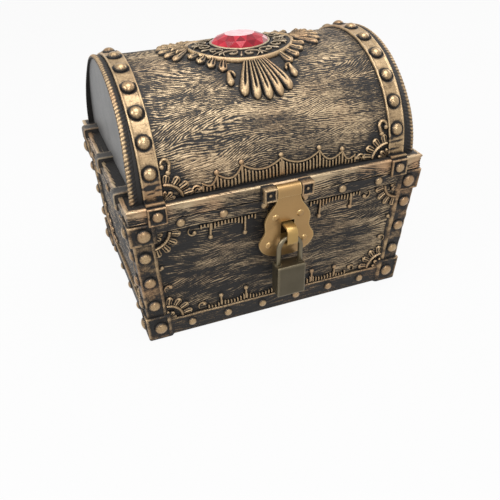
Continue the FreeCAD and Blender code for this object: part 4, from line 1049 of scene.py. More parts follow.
# the lid's rim: a profile around a rectangle, with strokes on its face and a bright bead along its top edge
def lidRim():
    spec = rimSpec
    cx, cy, wall = (column[:, None] for column in perimeter(spec["along"], spec["deep"]))
    z = edgeSteps(rimLow[2], rimHigh[2], spec["rows"])[None]
    u, z = np.broadcast_arrays(runAlong(cx, cy, wall, rimHigh[0], rimHigh[1]), z)
    ridge = carvedStrokes(u, z, spec["seed"])
    top = rimHigh[2] - z
    low = z - rimLow[2]
    bead = spec["bead"] * np.exp(-((top - spec["beadDown"]) / spec["beadHalf"]) ** 2)
    carved = (ridge - 1) * spec["relief"] * smoothStep(1.6, 2.6, top)
    h = carved - edgeDrop(np.minimum(top, low), spec["edge"]) + bead - spec["back"]
    wander = latticeNoise(u, z, (0.09, 0.1), spec["seed"] + 6)
    bright = 1 - smoothStep(2.0 + 1.8 * wander, 3.6 + 2.6 * wander, top)
    worn = (spec["tone"] + spec["ridge"] * ridge) * (1 - bright)
    worn = worn + bright * (spec["glintTone"] + spec["wander"] * wander)
    lowEdge = (1 - smoothStep(0.5, 1.2, low)) * (spec["lowTone"] + spec["wander"] * wander)
    worn = np.maximum(worn, lowEdge)
    ledge = -np.array(spec["ledge"])
    ledgeZ = np.repeat([rimHigh[2] - spec["ledgeDown"], rimLow[2]], 3)

    # the face's columns, then the ledge's
    def whole(face, hidden):
        return np.concatenate([face, np.broadcast_to(hidden, (len(cx), len(ledge)))], 1)
    h = whole(h, ledge)
    points = joined(cx * (rimHigh[0] + h), cy * (rimHigh[1] + h), whole(z, ledgeZ))
    grain = joined(whole(u, u[:, :1]), whole(z, ledgeZ - ledge))
    ring = loft(points, whole(worn, spec["ledgeWorn"]), grain, closed=True)
    newPiece("lid_rim_ring", [ring], "lid", "rimWood", ["lid_rim"])


beadSpec = {"pitch": 2.1, "ripple": 0.26, "rows": 560, "sides": 11, "half": 2.5, "over": 0.4, "flare": 2.3,
            "flareRun": 55.0, "tuck": 0.35, "twist": 0.35, "sink": 1.6, "seed": 17, "stripIn": 0.4,
            "strip": (-0.6, 0.35, 0.35, -0.6), "stripTone": 0.1}


# ribbed beads on the arch's ends: a half-round section whose height ripples along the run, wider apart at
# the feet
def lidBeads():
    spec = beadSpec
    half = spec["half"]
    s = np.linspace(0, archLength, spec["rows"])[:, None]
    turn = np.linspace(-spec["tuck"], math.pi + spec["tuck"], spec["sides"])[None]
    foot = 1 - smoothStep(0, spec["flareRun"], np.minimum(s, archLength - s))
    over = spec["over"] + spec["flare"] * foot
    notch = 0.5 - 0.5 * np.cos(2 * math.pi * (s / spec["pitch"] + spec["twist"] * turn))
    uneven = 0.4 + 1.2 * latticeNoise(s, turn, (0.25, 1), spec["seed"])
    size = 1 - spec["ripple"] * (1 - notch) * uneven
    outer = smoothStep(-0.5, 0.6, -np.cos(turn))
    worn = np.clip(np.sin(turn) + 0.35, 0, 1) * (0.12 + 0.88 * outer) * (0.55 + 0.6 * notch)
    for side, sign in sideSigns.items():
        low, high = span("lid_bead_" + side)
        ends = np.abs([low[0], high[0]])
        rise = high[2] - archBase - archRise
        middle = sign * (ends.max() - half + over)
        bulge = rise * np.sin(turn) * size * (0.55 + 0.45 * outer)
        h = np.where(np.sin(turn) > 0, bulge, spec["sink"] * np.sin(turn))
        x = middle - half * np.cos(turn) * (0.86 + 0.14 * size) * sign
        bead = loft(archPlace(x, s, h), worn, joined(x, s))
        # a flat dark strip from the bead's middle back to the strap
        inner = sign * (ends.min() - spec["stripIn"])
        x = joined(inner, inner, middle, middle)[:, 0]
        strip = loft(archPlace(x, s, np.array([spec["strip"]])), spec["stripTone"], joined(x, s))
        newPiece("bead_" + side, [bead, strip], "lid", "antiqueTrim", ["lid_bead_" + side])


strapSpec = {"thick": 1.8, "rivets": 11, "rivet": 3.7, "rivetTall": 2.8, "rivetSunk": 0.5, "hollow": 1.3,
             "hollowDeep": 0.5, "lip": 0.45, "dents": 0.3, "edge": 0.6, "columns": 9, "run": 260, "trim": 0.4,
             "back": 0.3, "footEdge": 0.5, "footRows": 3, "footUnder": 0.6, "footIn": 0.2, "footSink": 0.3,
             "footHollow": 0.8, "seed": 111}


# the rivets' runs: even steps along the strap's outer ellipse, ends left out, brought back to the arch's run
def strapRivetRuns():
    run = ellipseRun(archDeep + strapSpec["thick"], archRise + strapSpec["thick"])
    steps = np.linspace(0, run[-1], strapSpec["rivets"] + 2)[1:-1]
    return np.interp(np.interp(steps, run, archAngles), archAngles, archRun)


# the middle and half width of a lid strap
def strapMiddle(side):
    low, high = span("lid_strap_" + side)
    return (low[0] + high[0]) / 2, (high[0] - low[0]) / 2


# lid straps over the arch: raised edges, hollows around the rivets, hammer dents; a foot on each ledge
def lidStraps():
    spec = strapSpec
    rivet = spec["rivet"]
    runs = strapRivetRuns()
    for number, side in enumerate(sideSigns):
        low, high = span("lid_strap_" + side)
        middle, half = strapMiddle(side)
        seed = spec["seed"] + 5 * number

        # the way to the nearest rivet's middle
        def gap(u, s):
            return np.min(np.hypot(u[..., None] - middle, s[..., None] - runs), -1)

        # the strap less its rounded edges, with a lip along them, dents, and a hollow at each rivet
        def height(u, s):
            border = half - np.abs(u - middle)
            dents = latticeNoise(u, s, (0.3, 0.28), seed) - 0.5
            lip = spec["lip"] * (1 - smoothStep(0.7, 1.6, border))
            hollow = spec["hollowDeep"] * (1 - smoothStep(rivet, rivet + spec["hollow"], gap(u, s)))
            plate = spec["thick"] - edgeDrop(border, spec["edge"])
            return plate + lip + spec["dents"] * dents - spec["back"] - hollow

        # an uneven rub, gone in patches at the feet, brighter along the edges, darker in the hollows
        def worn(u, s):
            border = half - np.abs(u - middle)
            rub = 0.62 + 0.4 * latticeNoise(u, s, (0.2, 0.35), seed + 1)
            foot = 1 - smoothStep(6, 16, np.minimum(s, archLength - s))
            rub = rub - foot * 0.9 * smoothStep(0.45, 0.75, latticeNoise(u, s, (0.2, 0.9), seed + 2))
            rub = rub + 0.25 * (1 - smoothStep(0.5, 1.5, border))
            return rub * (0.1 + 0.9 * smoothStep(rivet - 0.1, rivet + spec["hollow"], gap(u, s)))

        # a raised bar along the ledge's edge, lower behind it
        def footHeight(u, y):
            out = rimHigh[1] - np.abs(y)
            border = np.minimum(half - np.abs(u - middle), out)
            sunk = spec["footHollow"] * smoothStep(1.6, 2.4, out) * smoothStep(0.5, 1.2, border)
            return spec["thick"] - edgeDrop(border, spec["footEdge"]) - sunk

        # bright on the bar, dark behind it
        def footWorn(u, y):
            return 0.95 - 0.75 * smoothStep(1.4, 2.4, rimHigh[1] - np.abs(y))
        us = edgeSteps(low[0], high[0], spec["columns"])
        run = np.linspace(spec["trim"], archLength - spec["trim"], spec["run"])
        parts = [slab(archPlace, us, run, height, worn)]
        depth = edgeSteps(archDeep - spec["footUnder"], rimHigh[1] - spec["footIn"], spec["footRows"])
        for ys in (-depth[::-1], depth):
            parts.append(slab(levelPlace(archBase), us, ys, footHeight, footWorn, sink=spec["footSink"]))
        newPiece("lid_band_" + side, parts, "lid", "strapGold", ["lid_strap_" + side])


capSpec = {"thick": 2.0, "frame": 1.2, "pocket": 1.0, "edge": 0.6, "steps": 7, "rivet": 3.3,
           "rivetTall": 2.3, "seed": 121, "sink": {"front": 0.0, "back": 0.3}}


# the lowest level of the strap caps on each face, and their top
def strapCapLevels():
    low, high = span("lid_strap_caps")
    return {"front": low[2], "back": rimLow[2]}, high[2]


# strap caps on the rim: a raised frame around a sunk field
def strapCaps():
    spec = capSpec
    frameWide = spec["frame"]
    bottoms, top = strapCapLevels()
    middle, half = strapMiddle("right")
    parts = []
    for side, bottom in bottoms.items():
        for sign in (-1, 1):
            # the way to the nearest edge
            def border(u, z):
                return np.minimum(half - np.abs(u - sign * middle), np.minimum(z - bottom, top - z))

            # the frame less its rounded edges, and a pocket inside it
            def height(u, z):
                field = smoothStep(frameWide - 0.5, frameWide + 0.4, border(u, z))
                return spec["thick"] - edgeDrop(border(u, z), spec["edge"]) - spec["pocket"] * field

            # an uneven bright frame, dark inside
            def worn(u, z):
                rub = latticeNoise(u, z, (0.5, 0.5), spec["seed"])
                field = smoothStep(frameWide - 0.6, frameWide + 0.3, border(u, z))
                return 0.55 + 0.55 * rub - 0.55 * field
            us = edgeSteps(sign * middle - half, sign * middle + half, spec["steps"])
            zs = edgeSteps(bottom, top, spec["steps"])
            parts.append(slab(rimPlace(side), us, zs, height, worn, sink=spec["sink"][side]))
    newPiece("strap_caps", parts, "lid", "antiqueTrim", ["lid_strap_caps"])


# domes along each lid strap, and one in the middle of each strap cap
def lidRivets():
    spec = strapSpec
    runs = strapRivetRuns()
    bottoms, top = strapCapLevels()
    base = spec["thick"] - spec["rivetSunk"]
    capBase = capSpec["thick"] - capSpec["pocket"]
    heads = []
    for side in sideSigns:
        middle = strapMiddle(side)[0]
        heads.append(domes(archPlace, joined(middle, runs), spec["rivet"], spec["rivetTall"], base=base))
        for face, bottom in bottoms.items():
            centre = [[middle if face == "front" else -middle, (bottom + top) / 2]]
            heads.append(domes(rimPlace(face), centre, capSpec["rivet"], capSpec["rivetTall"], base=capBase))
    newPiece("lid_rivet_heads", heads, "lid", "rivetGold", ["lid_rivets"])


crookSpec = {"fanWide": 1.04, "fanTall": 0.84, "middle": (3.4, 18.8), "curl": (2.4, 2.9), "stem": (1.2, 4.4),
             "turn": 3.4, "half": 1.15, "rise": 1.9, "balls": ((4.4, 14.6), (1.5, 18.0)), "ball": 1.7,
             "ballRise": 2.0, "comma": (19.6, 2.0), "commaSize": 1.7, "commaRise": 1.3}
crownSpec = {"tall": 13.2, "shoulder": 0.9, "swag": 0.58, "scroll": (3.0, 3.6), "scrollUp": 1.2,
             "scrollTurn": 1.1, "scrollHalf": 0.75, "scrollRise": 1.4, "ball": 1.5, "ballRise": 1.6,
             "ballAt": (0.4, 3.0), "peaks": [(-1.0, 0.49), (-0.81, 0.76), (-0.5, 1.0), (0.0, 1.0), (0.5, 1.0),
                                             (0.81, 0.76), (1.0, 0.49)]}


# corner fans on the arch, each with a crook that climbs along the strap from its top petal, and balls on it
def lidCornerFans():
    spec = crookSpec
    edge = span("lid_fan_right")[1][0]
    turn = np.concatenate([np.zeros(8), np.linspace(0, spec["turn"], 16)])
    stem = np.concatenate([np.linspace(1, 0, 8, endpoint=False), np.zeros(16)])
    middleIn, middleUp = spec["middle"]
    curlIn, curlUp = spec["curl"]
    stemIn, stemUp = spec["stem"]
    across = edge - middleIn - curlIn * np.cos(turn) + stemIn * stem
    up = middleUp + curlUp * np.sin(turn) - stemUp * stem
    commaIn, commaUp = spec["comma"]
    for side, sign in sideSigns.items():
        parts = fanParts(archPlace, sign * edge, 0.0, -sign, 1, wide=spec["fanWide"], tall=spec["fanTall"])
        parts.append(strokes(archPlace, joined(sign * across, up), spec["half"], spec["rise"], low=0.1))
        balls = [[sign * (edge - inward), run] for inward, run in spec["balls"]]
        parts.append(domes(archPlace, balls, spec["ball"], spec["ballRise"]))
        parts += commaParts(archPlace, sign * (edge - commaIn), commaUp, -sign, 1, spec["commaSize"],
                            spec["commaRise"])
        newPiece("lid_corner_fan_" + side, parts, "lid", "antiqueTrim", ["lid_fan_" + side])


# the crown between the fans: a comb whose peaks are shares of its half width and height, a scroll at each
# end
def lidCrown():
    spec = crownSpec
    half = span("lid_comb")[1][0]
    peaks = [(half * u, spec["tall"] * v) for u, v in spec["peaks"]]
    parts = combParts(archPlace, peaks, 0.0, 1, spec["shoulder"], spec["swag"], True)
    t = np.linspace(0, math.pi * spec["scrollTurn"], 18)
    wide, tall = spec["scroll"]
    ballIn, ballUp = spec["ballAt"]
    for sign in (-1, 1):
        path = joined(sign * (half + wide - wide * np.cos(t)), spec["scrollUp"] + tall * np.sin(t))
        parts.append(strokes(archPlace, path, spec["scrollHalf"], spec["scrollRise"]))
        parts.append(domes(archPlace, [[sign * (half + ballIn), ballUp]], spec["ball"], spec["ballRise"]))
    newPiece("lid_crown_comb", parts, "lid", "antiqueTrim", ["lid_comb"])


lidArch()
lidRim()
lidBeads()
lidStraps()
strapCaps()
lidRivets()
lidCornerFans()
lidCrown()
print("lid done")


# rings on ellipses: a section of (step outwards, height) pairs carried round the oval
def ovalRing(halfX, halfY, section, worn, count=120):
    turn = fullTurn(count)[:, None]
    out, level = np.asarray(section, float).T
    return loft(joined((halfX + out) * np.cos(turn), (halfY + out) * np.sin(turn), level), worn, closed=True)


# an oval section of a ring, from its middle and half sizes, and how far each point faces up
def ovalSection(out, level, halfOut, halfTall, count=14):
    turn = fullTurn(count)
    return joined(out + halfOut * np.cos(turn), level + halfTall * np.sin(turn)), np.sin(turn)


mountSpec = {"rimOut": 1.15, "rimLow": 149.3, "rimHigh": 152.9, "flange": 152.2, "core": 3.2, "droop": 3.4,
             "collarOut": 0.9, "collarIn": 1.2, "collarHigh": 153.5, "scrolls": 14, "scrollHalf": 0.52,
             "scrollRise": 1.5, "scrollTurn": 7.0, "scrollEnd": 0.74, "scrollGap": 0.5, "ball": 0.9,
             "ballRise": 1.2, "leaf": 0.9, "leafRise": 1.3, "leafSpan": (0.7, 0.9), "sink": 0.3, "down": 0.35,
             "dish": ((0.6, -0.2), (-4.0, -0.5), (-11.0, 0.3)),     # steps outwards, heights from the flange
             "coreSteps": (-11.0, -3.0), "seat": (-2.0, 0.3), "dishTones": (0.3, 0.1, 0.1, 0, 0, 0)}


# the mount bends with the arch: it drops by the square of the way to its front edge
def drooped(part):
    half = span("gem_mount_rim")[1][1]
    part["points"][:, 2] -= mountSpec["droop"] * (part["points"][:, 1] / half) ** 2
    return part


# the mount's raised rim: an oval section carried round the oval
def gemRim():
    spec = mountSpec
    wide, deep = span("gem_mount_rim")[1][:2]
    middle = (spec["rimLow"] + spec["rimHigh"]) / 2
    section, up = ovalSection(-spec["rimOut"], middle, spec["rimOut"], spec["rimHigh"] - middle)
    rim = ovalRing(wide, deep, section, 0.15 + 0.85 * np.clip(up * 0.7 + 0.55, 0, 1))
    newPiece("gem_rim_ring", [drooped(rim)], "lid", "mountGold", ["gem_mount_rim"])


# the dished flange, with a core that reaches down into the arch, and spirals, balls and leaves on it
def gemFlange():
    spec = mountSpec
    level = spec["flange"]
    sink = spec["sink"]
    count = spec["scrolls"]
    flangeX, flangeY = span("gem_flange")[1][:2]
    gemX, gemY = span("gem")[1][:2]
    seatOut, seatUp = spec["seat"]
    section = [(out, level + up) for out, up in spec["dish"]]
    section += [(out, level - spec["core"]) for out in spec["coreSteps"]]
    section += [(seatOut, spec["rimLow"] + seatUp)]
    parts = [ovalRing(flangeX, flangeY, section, spec["dishTones"])]
    place = levelPlace(level - spec["down"])
    middleX = (flangeX + gemX + spec["collarOut"]) / 2
    middleY = (flangeY + gemY + spec["collarOut"]) / 2
    wide = (flangeX - gemX - spec["collarOut"]) / 2 - spec["scrollGap"]
    deep = (flangeY - gemY - spec["collarOut"]) / 2 - spec["scrollGap"]

    # a place on the oval, some share of the flange's half width from its middle line
    def onOval(angle, share):
        return joined((middleX + share * wide) * np.cos(angle), (middleY + share * deep) * np.sin(angle))
    number = np.arange(count)
    turn = (number + 0.5) / count * 2 * math.pi
    twist = np.where(number % 2 == 0, 1, -1)[:, None]
    t = np.linspace(0, 1, 26)[None]
    size = 1 - spec["scrollEnd"] * t
    angle = turn[:, None] + twist * (0.5 + t * spec["scrollTurn"])
    curl = joined(wide * size * np.cos(angle), deep * size * np.sin(angle))
    spirals = onOval(turn, 0)[:, None] + curl
    parts.append(strokes(place, spirals, spec["scrollHalf"], spec["scrollRise"], sides=6, sink=sink, low=0.0,
                         high=1.3))
    parts.append(domes(place, onOval(turn, 0), spec["ball"], spec["ballRise"], sides=10, sink=sink))
    joint = number / count * 2 * math.pi
    rootShare, tipShare = spec["leafSpan"]
    parts.append(leaves(place, onOval(joint, -rootShare), onOval(joint, tipShare), spec["leaf"],
                        spec["leafRise"], grooves=0, sink=sink))
    newPiece("gem_flange_scrolls", [drooped(part) for part in parts], "lid", "flangeGold", ["gem_flange"])


# the collar: a tube round the stone with a rounded top
def gemCollar():
    spec = mountSpec
    gemX, gemY = span("gem")[1][:2]
    base = span("gem_collar")[0][2]
    out = spec["collarOut"]
    inside = -spec["collarIn"]
    high = spec["collarHigh"]
    section = [(inside, base), (out, base), (out, spec["flange"] + 0.4), (out * 0.8, high - 0.3),
               (out * 0.3, high), (-0.6, high - 0.2), (inside, high - 1.0)]
    collar = ovalRing(gemX, gemY, section, [0, 0.1, 0.4, 0.85, 1.0, 0.7, 0.2])
    newPiece("gem_collar_ring", [drooped(collar)], "lid", "flangeGold", ["gem_collar"])


# rings of the cut stone: size, share of its height, and whether it is turned by half a facet
# its tones are painted reflections: the table's pale one, a few glints, and each side and crown facet's own
gemSpec = {"facets": 14, "seed": 131, "tableReflection": 0.94, "glintTone": 0.92, "glintCount": 4,
           "rings": ((0.72, 0.0, 0), (1.0, 0.38, 0), (1.0, 0.45, 0), (0.84, 0.74, 1), (0.52, 1.0, 0)),
           "bentRings": 3, "sideReflectTones": (0.05, 0.5), "crownReflectTones": (0.02, 0.5)}


# an oval cut stone: rings of facets from the girdle to a flat table, each facet flat with its own painted
# lightness for the light it reflects, a few with painted glints
def cutGem():
    spec = gemSpec
    low, high = span("gem")
    n = spec["facets"]
    turn = np.arange(n) / n * 2 * math.pi
    size, share, shift = np.array(spec["rings"]).T[..., None]
    angle = turn + shift * math.pi / n
    level = low[2] + share * (high[2] - low[2])
    points = joined(high[0] * size * np.cos(angle), high[1] * size * np.sin(angle), level)
    flat = points.reshape(-1, 3)
    drooped({"points": flat[:spec["bentRings"] * n]})
    i = np.arange(n)
    after = (i + 1) % n
    before = (i - 1) % n
    # triangles of each zone, written as rows of point numbers
    zones = [joined(i, after, n + after), joined(i, n + after, n + i),
             joined(n + i, n + after, 2 * n + after), joined(n + i, 2 * n + after, 2 * n + i),
             joined(2 * n + i, 2 * n + after, 3 * n + i), joined(2 * n + i, 3 * n + i, 3 * n + before),
             joined(3 * n + i, 4 * n + after, 4 * n + i), joined(3 * n + before, 3 * n + i, 4 * n + i)]
    random = np.random.default_rng(spec["seed"])
    tones = np.concatenate([random.uniform(*spec["sideReflectTones"], len(zone)) for zone in zones])
    tones[4 * n:] = random.uniform(*spec["crownReflectTones"], 4 * n)
    # facets given a painted glint
    glinting = random.choice(4 * n, spec["glintCount"], replace=False)     # facets that catch the light
    tones[4 * n + glinting] = spec["glintTone"]
    table = flat[joined(4 * n + i, 4 * n + after)]
    base = flat[joined(after, i)]

    # a fan of triangles from an edge of each facet to the middle at one height
    def fan(edges, level):
        return np.concatenate([edges, np.broadcast_to([0, 0, level], (n, 1, 3))], 1).reshape(-1, 3)
    cut = flat[np.concatenate(zones)].reshape(-1, 3)
    points = np.concatenate([cut, fan(table, high[2]), fan(base, low[2])])
    tones = np.concatenate([np.repeat(tones, 3), np.full(3 * n, spec["tableReflection"]), np.zeros(3 * n)])
    mesh = bpy.data.meshes.new("gem_stone")
    mesh.from_pydata((points * mm).tolist(), [], np.arange(len(points)).reshape(-1, 3).tolist())
    mesh.attributes.new("worn", "FLOAT", "POINT").data.foreach_set("value", tones.astype(np.float32))
    dressed(bpy.data.objects.new("gem_stone", mesh), "lid", "gemRed", ["gem"])


frontFanSpec = {"reach": 35.5, "half": 23.5, "count": 5, "leaf": 3.0, "rise": 3.0, "inset": 11.0,
                "start": 1.0, "hook": (17.4, 31.6), "hookSize": (1.9, 2.4), "hookHalf": 0.9, "hookRise": 2.4,
                "sideFrom": (18.2, 29.5), "sideTo": (19.4, 37.0), "sideLeaf": 2.6, "sideRise": 2.8}


# fans in front of and behind the mount: leaves that spread from a root under it, a hooked leaf on each side
def gemFrontFans():
    spec = frontFanSpec
    flangeY = span("gem_flange")[1][1]
    angle = np.radians(np.linspace(-spec["half"], spec["half"], spec["count"]))
    turn = np.linspace(-0.4, 2.4, 14)
    hookX, hookY = spec["hook"]
    hookWide, hookTall = spec["hookSize"]
    hook = joined(hookX - hookWide * np.cos(turn), hookY - hookTall * np.sin(turn))
    for side, sy in (("front", -1), ("back", 1)):
        out = joined(np.sin(angle), sy * np.cos(angle))
        root = np.array([0, sy * (flangeY - spec["inset"])])
        start = root + out * (spec["inset"] + spec["start"])
        parts = [leaves(planPlace, start, root + out * spec["reach"], spec["leaf"], spec["rise"])]
        for sx in (-1, 1):
            mirror = np.array([sx, sy])
            parts.append(leaves(planPlace, [mirror * spec["sideFrom"]], [mirror * spec["sideTo"]],
                                spec["sideLeaf"], spec["sideRise"], grooves=0))
            parts.append(strokes(planPlace, mirror * hook, spec["hookHalf"], spec["hookRise"], low=0.1))
        newPiece("gem_fan_" + side, parts, "lid", "antiqueTrim", ["gem_fan_" + side])


endFanSpec = {"reach": 19.5, "half": 46.0, "count": 6, "leaf": 2.3, "rise": 2.3, "start": 1.5,
              "innerShare": 0.8, "innerShort": 6.5, "innerLeaf": 1.5, "innerRise": 3.3}


# fans at the mount's ends: long leaves, and shorter ones over the gaps between them
def gemEndFans():
    spec = endFanSpec
    flangeX = span("gem_flange")[1][0]
    for side, sx in sideSigns.items():
        root = np.array([sx * flangeX, 0])

        # leaves at even angles about the root
        def fanned(half, count, reach, leaf, rise, grooves, narrow):
            angle = np.radians(np.linspace(-half, half, count))
            out = joined(sx * np.cos(angle), np.sin(angle))
            start = root + out * spec["start"]
            return leaves(planPlace, start, root + out * reach, leaf, rise, grooves=grooves, root=narrow)
        parts = [fanned(spec["half"], spec["count"], spec["reach"], spec["leaf"], spec["rise"], 2, 0.35),
                 fanned(spec["half"] * spec["innerShare"], spec["count"] - 1,
                        spec["reach"] - spec["innerShort"], spec["innerLeaf"], spec["innerRise"], 1, 0.4)]
        newPiece("gem_fan_" + side + "_ribs", parts, "lid", "antiqueTrim", ["gem_fan_" + side])


petalSpec = {"turns": (25.0, 36.0, 47.0, 58.0), "reach": (7.2, 8.0, 8.8, 9.4), "leaf": 3.0, "rise": 2.8,
             "inset": 0.8}


# petals in each quarter of the oval, pointing straight away from it
def gemPetals():
    spec = petalSpec
    wide, deep = span("gem_mount_rim")[1][:2]
    turn = np.radians(np.array(spec["turns"]))
    turns = np.concatenate([turn, math.pi - turn, math.pi + turn, -turn])
    root = joined((wide - spec["inset"]) * np.cos(turns), (deep - spec["inset"]) * np.sin(turns))
    away = joined(np.cos(turns) / wide, np.sin(turns) / deep)
    away = away / np.linalg.norm(away, axis=1, keepdims=True)
    tips = root + away * np.tile(spec["reach"], 4)[:, None]
    petals = leaves(planPlace, root, tips, spec["leaf"], spec["rise"], grooves=2, root=0.6)
    newPiece("gem_petal_ring", [petals], "lid", "antiqueTrim", ["gem_petals"])


gemRim()
gemFlange()
gemCollar()
cutGem()
gemFrontFans()
gemEndFans()
gemPetals()
print("gem done")


clipSpec = {"plate": 0.8, "back": 1.0, "places": (-47.0, 0.0, 47.0), "half": 3.6, "bend": 2.0, "leg": 0.62,
            "edge": 0.5, "columnTones": (1, 0.8, 0.7, 0.8, 1), "endRubAndGlint": 1.1, "besideRubAndGlint": 0.6,
            "inset": 0.4, "blockGap": 0.3, "blockDown": 0.6, "blockCut": (0.8, 1.6), "blockUp": 0.6,
            "blockSunk": 0.5}


# side clips: a thin plate bent over the rim's edge, its ends bright with painted highlight and wear, on a
# block set back from its ends and painted dark as the shade under the plate; both are loops in x and z
# carried along y
def sideClips():
    spec = clipSpec
    low, high = span("lid_side_clips")
    inner = span("lid_end_panel_right")[1][0] - spec["inset"]
    plate = spec["plate"]
    half = spec["half"]
    turn = np.linspace(math.pi / 2, 0, 7)
    arc = joined(np.cos(turn), np.sin(turn))
    heel = np.array([high[0] - spec["bend"], high[2] - spec["bend"]])
    foot = high[2] - spec["leg"] * (high[2] - low[2])
    bent = np.concatenate([[(inner, high[2])], heel + arc * spec["bend"],
                           [(high[0], foot), (high[0] - plate, foot)],
                           heel + arc[::-1] * (spec["bend"] - plate), [(inner, high[2] - plate)]])
    bentY = np.array([-half, -half + spec["edge"], 0, half - spec["edge"], half])
    shown = len(turn) + 2
    shade = np.concatenate([[0.4], 0.45 + 0.35 * np.sin(2 * turn), [0.4], np.zeros(shown)])
    shade = shade * np.array(spec["columnTones"])[:, None]
    # painted highlight and wear: the plate's front and back ends bright, and the rows beside them
    shade[[0, -1]] = spec["endRubAndGlint"]
    shade[[1, -2], :shown] = spec["besideRubAndGlint"]
    out = high[0] - plate - spec["blockGap"]
    top = high[2] - spec["blockDown"]
    bottom = foot + spec["blockUp"]
    seatX = rimHigh[0] - spec["blockSunk"]
    seatZ = rimHigh[2] - spec["blockSunk"]
    cutIn, cutDown = spec["blockCut"]
    # the block is dark all over: painted shade under the plate
    block = np.array([(inner, top), (out - cutIn, top), (out, high[2] - cutDown), (out, bottom),
                      (seatX, bottom), (seatX, seatZ), (inner, seatZ)])
    blockY = np.array([-half + spec["back"], half - spec["back"]])
    parts = []
    for sign in (-1, 1):
        for middle in spec["places"]:
            for loop, y, tone in ((bent, bentY, shade), (block, blockY, 0.0)):
                parts.append(loft(joined(sign * loop[:, 0], middle + y[:, None], loop[:, 1]), tone))
    newPiece("side_clips", parts, "lid", "clipWorn", ["lid_side_clips"], sharp=35)


earSpec = {"frame": 1.3, "pocket": 1.5, "edge": 0.6, "steps": 5, "sink": 0.3, "stud": 1.3, "studTall": 1.0}


# hasp ears: blocks on the rim with a raised border round a sunk square, and a stud in it
def haspEars():
    spec = earSpec
    frameWide = spec["frame"]
    place = rimPlace("front")
    for side in sideSigns:
        low, high = span("hasp_ear_" + side)
        thick = -low[1] - rimHigh[1]

        # the way to the nearest edge
        def border(u, z):
            return np.minimum(np.minimum(u - low[0], high[0] - u), np.minimum(z - low[2], high[2] - z))

        # the block less its rounded edges, and a pocket inside its border
        def height(u, z):
            field = smoothStep(frameWide - 0.4, frameWide + 0.4, border(u, z))
            return thick - edgeDrop(border(u, z), spec["edge"]) - spec["pocket"] * field

        # a bright border, dark inside
        def worn(u, z):
            return 0.9 - 0.7 * smoothStep(frameWide - 0.5, frameWide + 0.4, border(u, z))
        us = edgeSteps(low[0], high[0], spec["steps"])
        zs = edgeSteps(low[2], high[2], spec["steps"])
        centre = [[(low[0] + high[0]) / 2, (low[2] + high[2]) / 2]]
        parts = [slab(place, us, zs, height, worn, sink=spec["sink"]),
                 domes(place, centre, spec["stud"], spec["studTall"], base=thick - spec["pocket"])]
        newPiece("ear_" + side, parts, "lid", "antiqueTrim", ["hasp_ear_" + side], sharp=50)


rollSpec = {"half": 7.1, "outer": 3.15, "inner": 2.2, "lip": 3.4, "round": 0.25, "from": 145, "tone": 0.5,
            "columns": (-1, -0.97, 0, 0.97, 1)}


# the hasp's roll: an outer sleeve over the knuckle, an arc from its back over the top and down the front to
# a lip, tilted with the wall and carried along x
def haspRoll():
    spec = rollSpec
    low, high = span("hasp_pin")
    turn = np.radians(np.linspace(spec["from"], 0, 22))
    lip = spec["lip"]
    drop = np.array([-lip * 0.5, -lip + spec["round"], -lip])
    out = np.concatenate([spec["outer"] * np.cos(turn), spec["outer"] - np.array([0, 0, spec["round"]]),
                          np.full(3, spec["inner"]), spec["inner"] * np.cos(turn[::-1])])
    up = np.concatenate([spec["outer"] * np.sin(turn), drop, drop[::-1], spec["inner"] * np.sin(turn[::-1])])
    tilt = math.atan(lean)
    y = (low[1] + high[1]) / 2 - (out * math.cos(tilt) + up * math.sin(tilt))
    z = (low[2] + high[2]) / 2 + up * math.cos(tilt) - out * math.sin(tilt)
    x = np.array(spec["columns"])[:, None] * spec["half"]
    newPiece("hasp_roll", [loft(joined(x, y, z), spec["tone"])], "hasp", "haspBrass", sharp=40)


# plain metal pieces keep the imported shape, with softened edges: body, finish, bevel width
softPieces = {
    "hasp_pin": ("lid", "earBronze", 0.25),
    "hasp_plate": ("hasp", "haspBrass", 0.3), "hasp_studs": ("hasp", "haspBrass", 0.1),
    "staple_plate": ("box", "shadedPlateBrass", 0.25), "staple": ("box", "stapleBrass", 0.35),
    "padlock_shackle": ("lock_shackle", "shackleWire", 0.2),
    "padlock_case": ("lock_case", "lockBronze", 0.6),
    "padlock_plug": ("lock_plug", "stapleBrass", 0.15),
    "box_hinge_screws": ("box", "hingeBrass", 0.1), "lid_hinge_screws": ("lid", "hingeBrass", 0.1)}
softPairs = {
    "lid_end_panel_": ("lid", "panelGrey", 0.3), "box_hinge_leaf_": ("box", "hingeBrass", 0.2),
    "lid_hinge_leaf_": ("lid", "hingeBrass", 0.2), "hinge_pin_": ("box", "hingeBrass", 0.15)}


# each plain piece, and both of each pair
def softMetal():
    for node, (body, finish, width) in softPieces.items():
        softened(node, body, finish, width)
    for stem, (body, finish, width) in softPairs.items():
        for side in sideSigns:
            softened(stem + side, body, finish, width)


sideClips()
haspEars()
haspRoll()
softMetal()
print("metal done")

floorSpec = {"size": 4.0, "level": -0.0005, "seen": 0.94, "grey": (0.5, 0.5, 0.5)}     # in metres
white = (1.0, 1.0, 1.0)


# 1 for rays from the camera, a mirror or glass, 0 for the light that falls on the chest
def seenRays(start):
    outputs = start.node("LightPath").socket.node.outputs
    camera, glossy, through = (Sock(start.tree, outputs["Is " + kind + " Ray"]) for kind in
                               ("Camera", "Glossy", "Transmission"))
    return (camera + glossy + through).clamped()


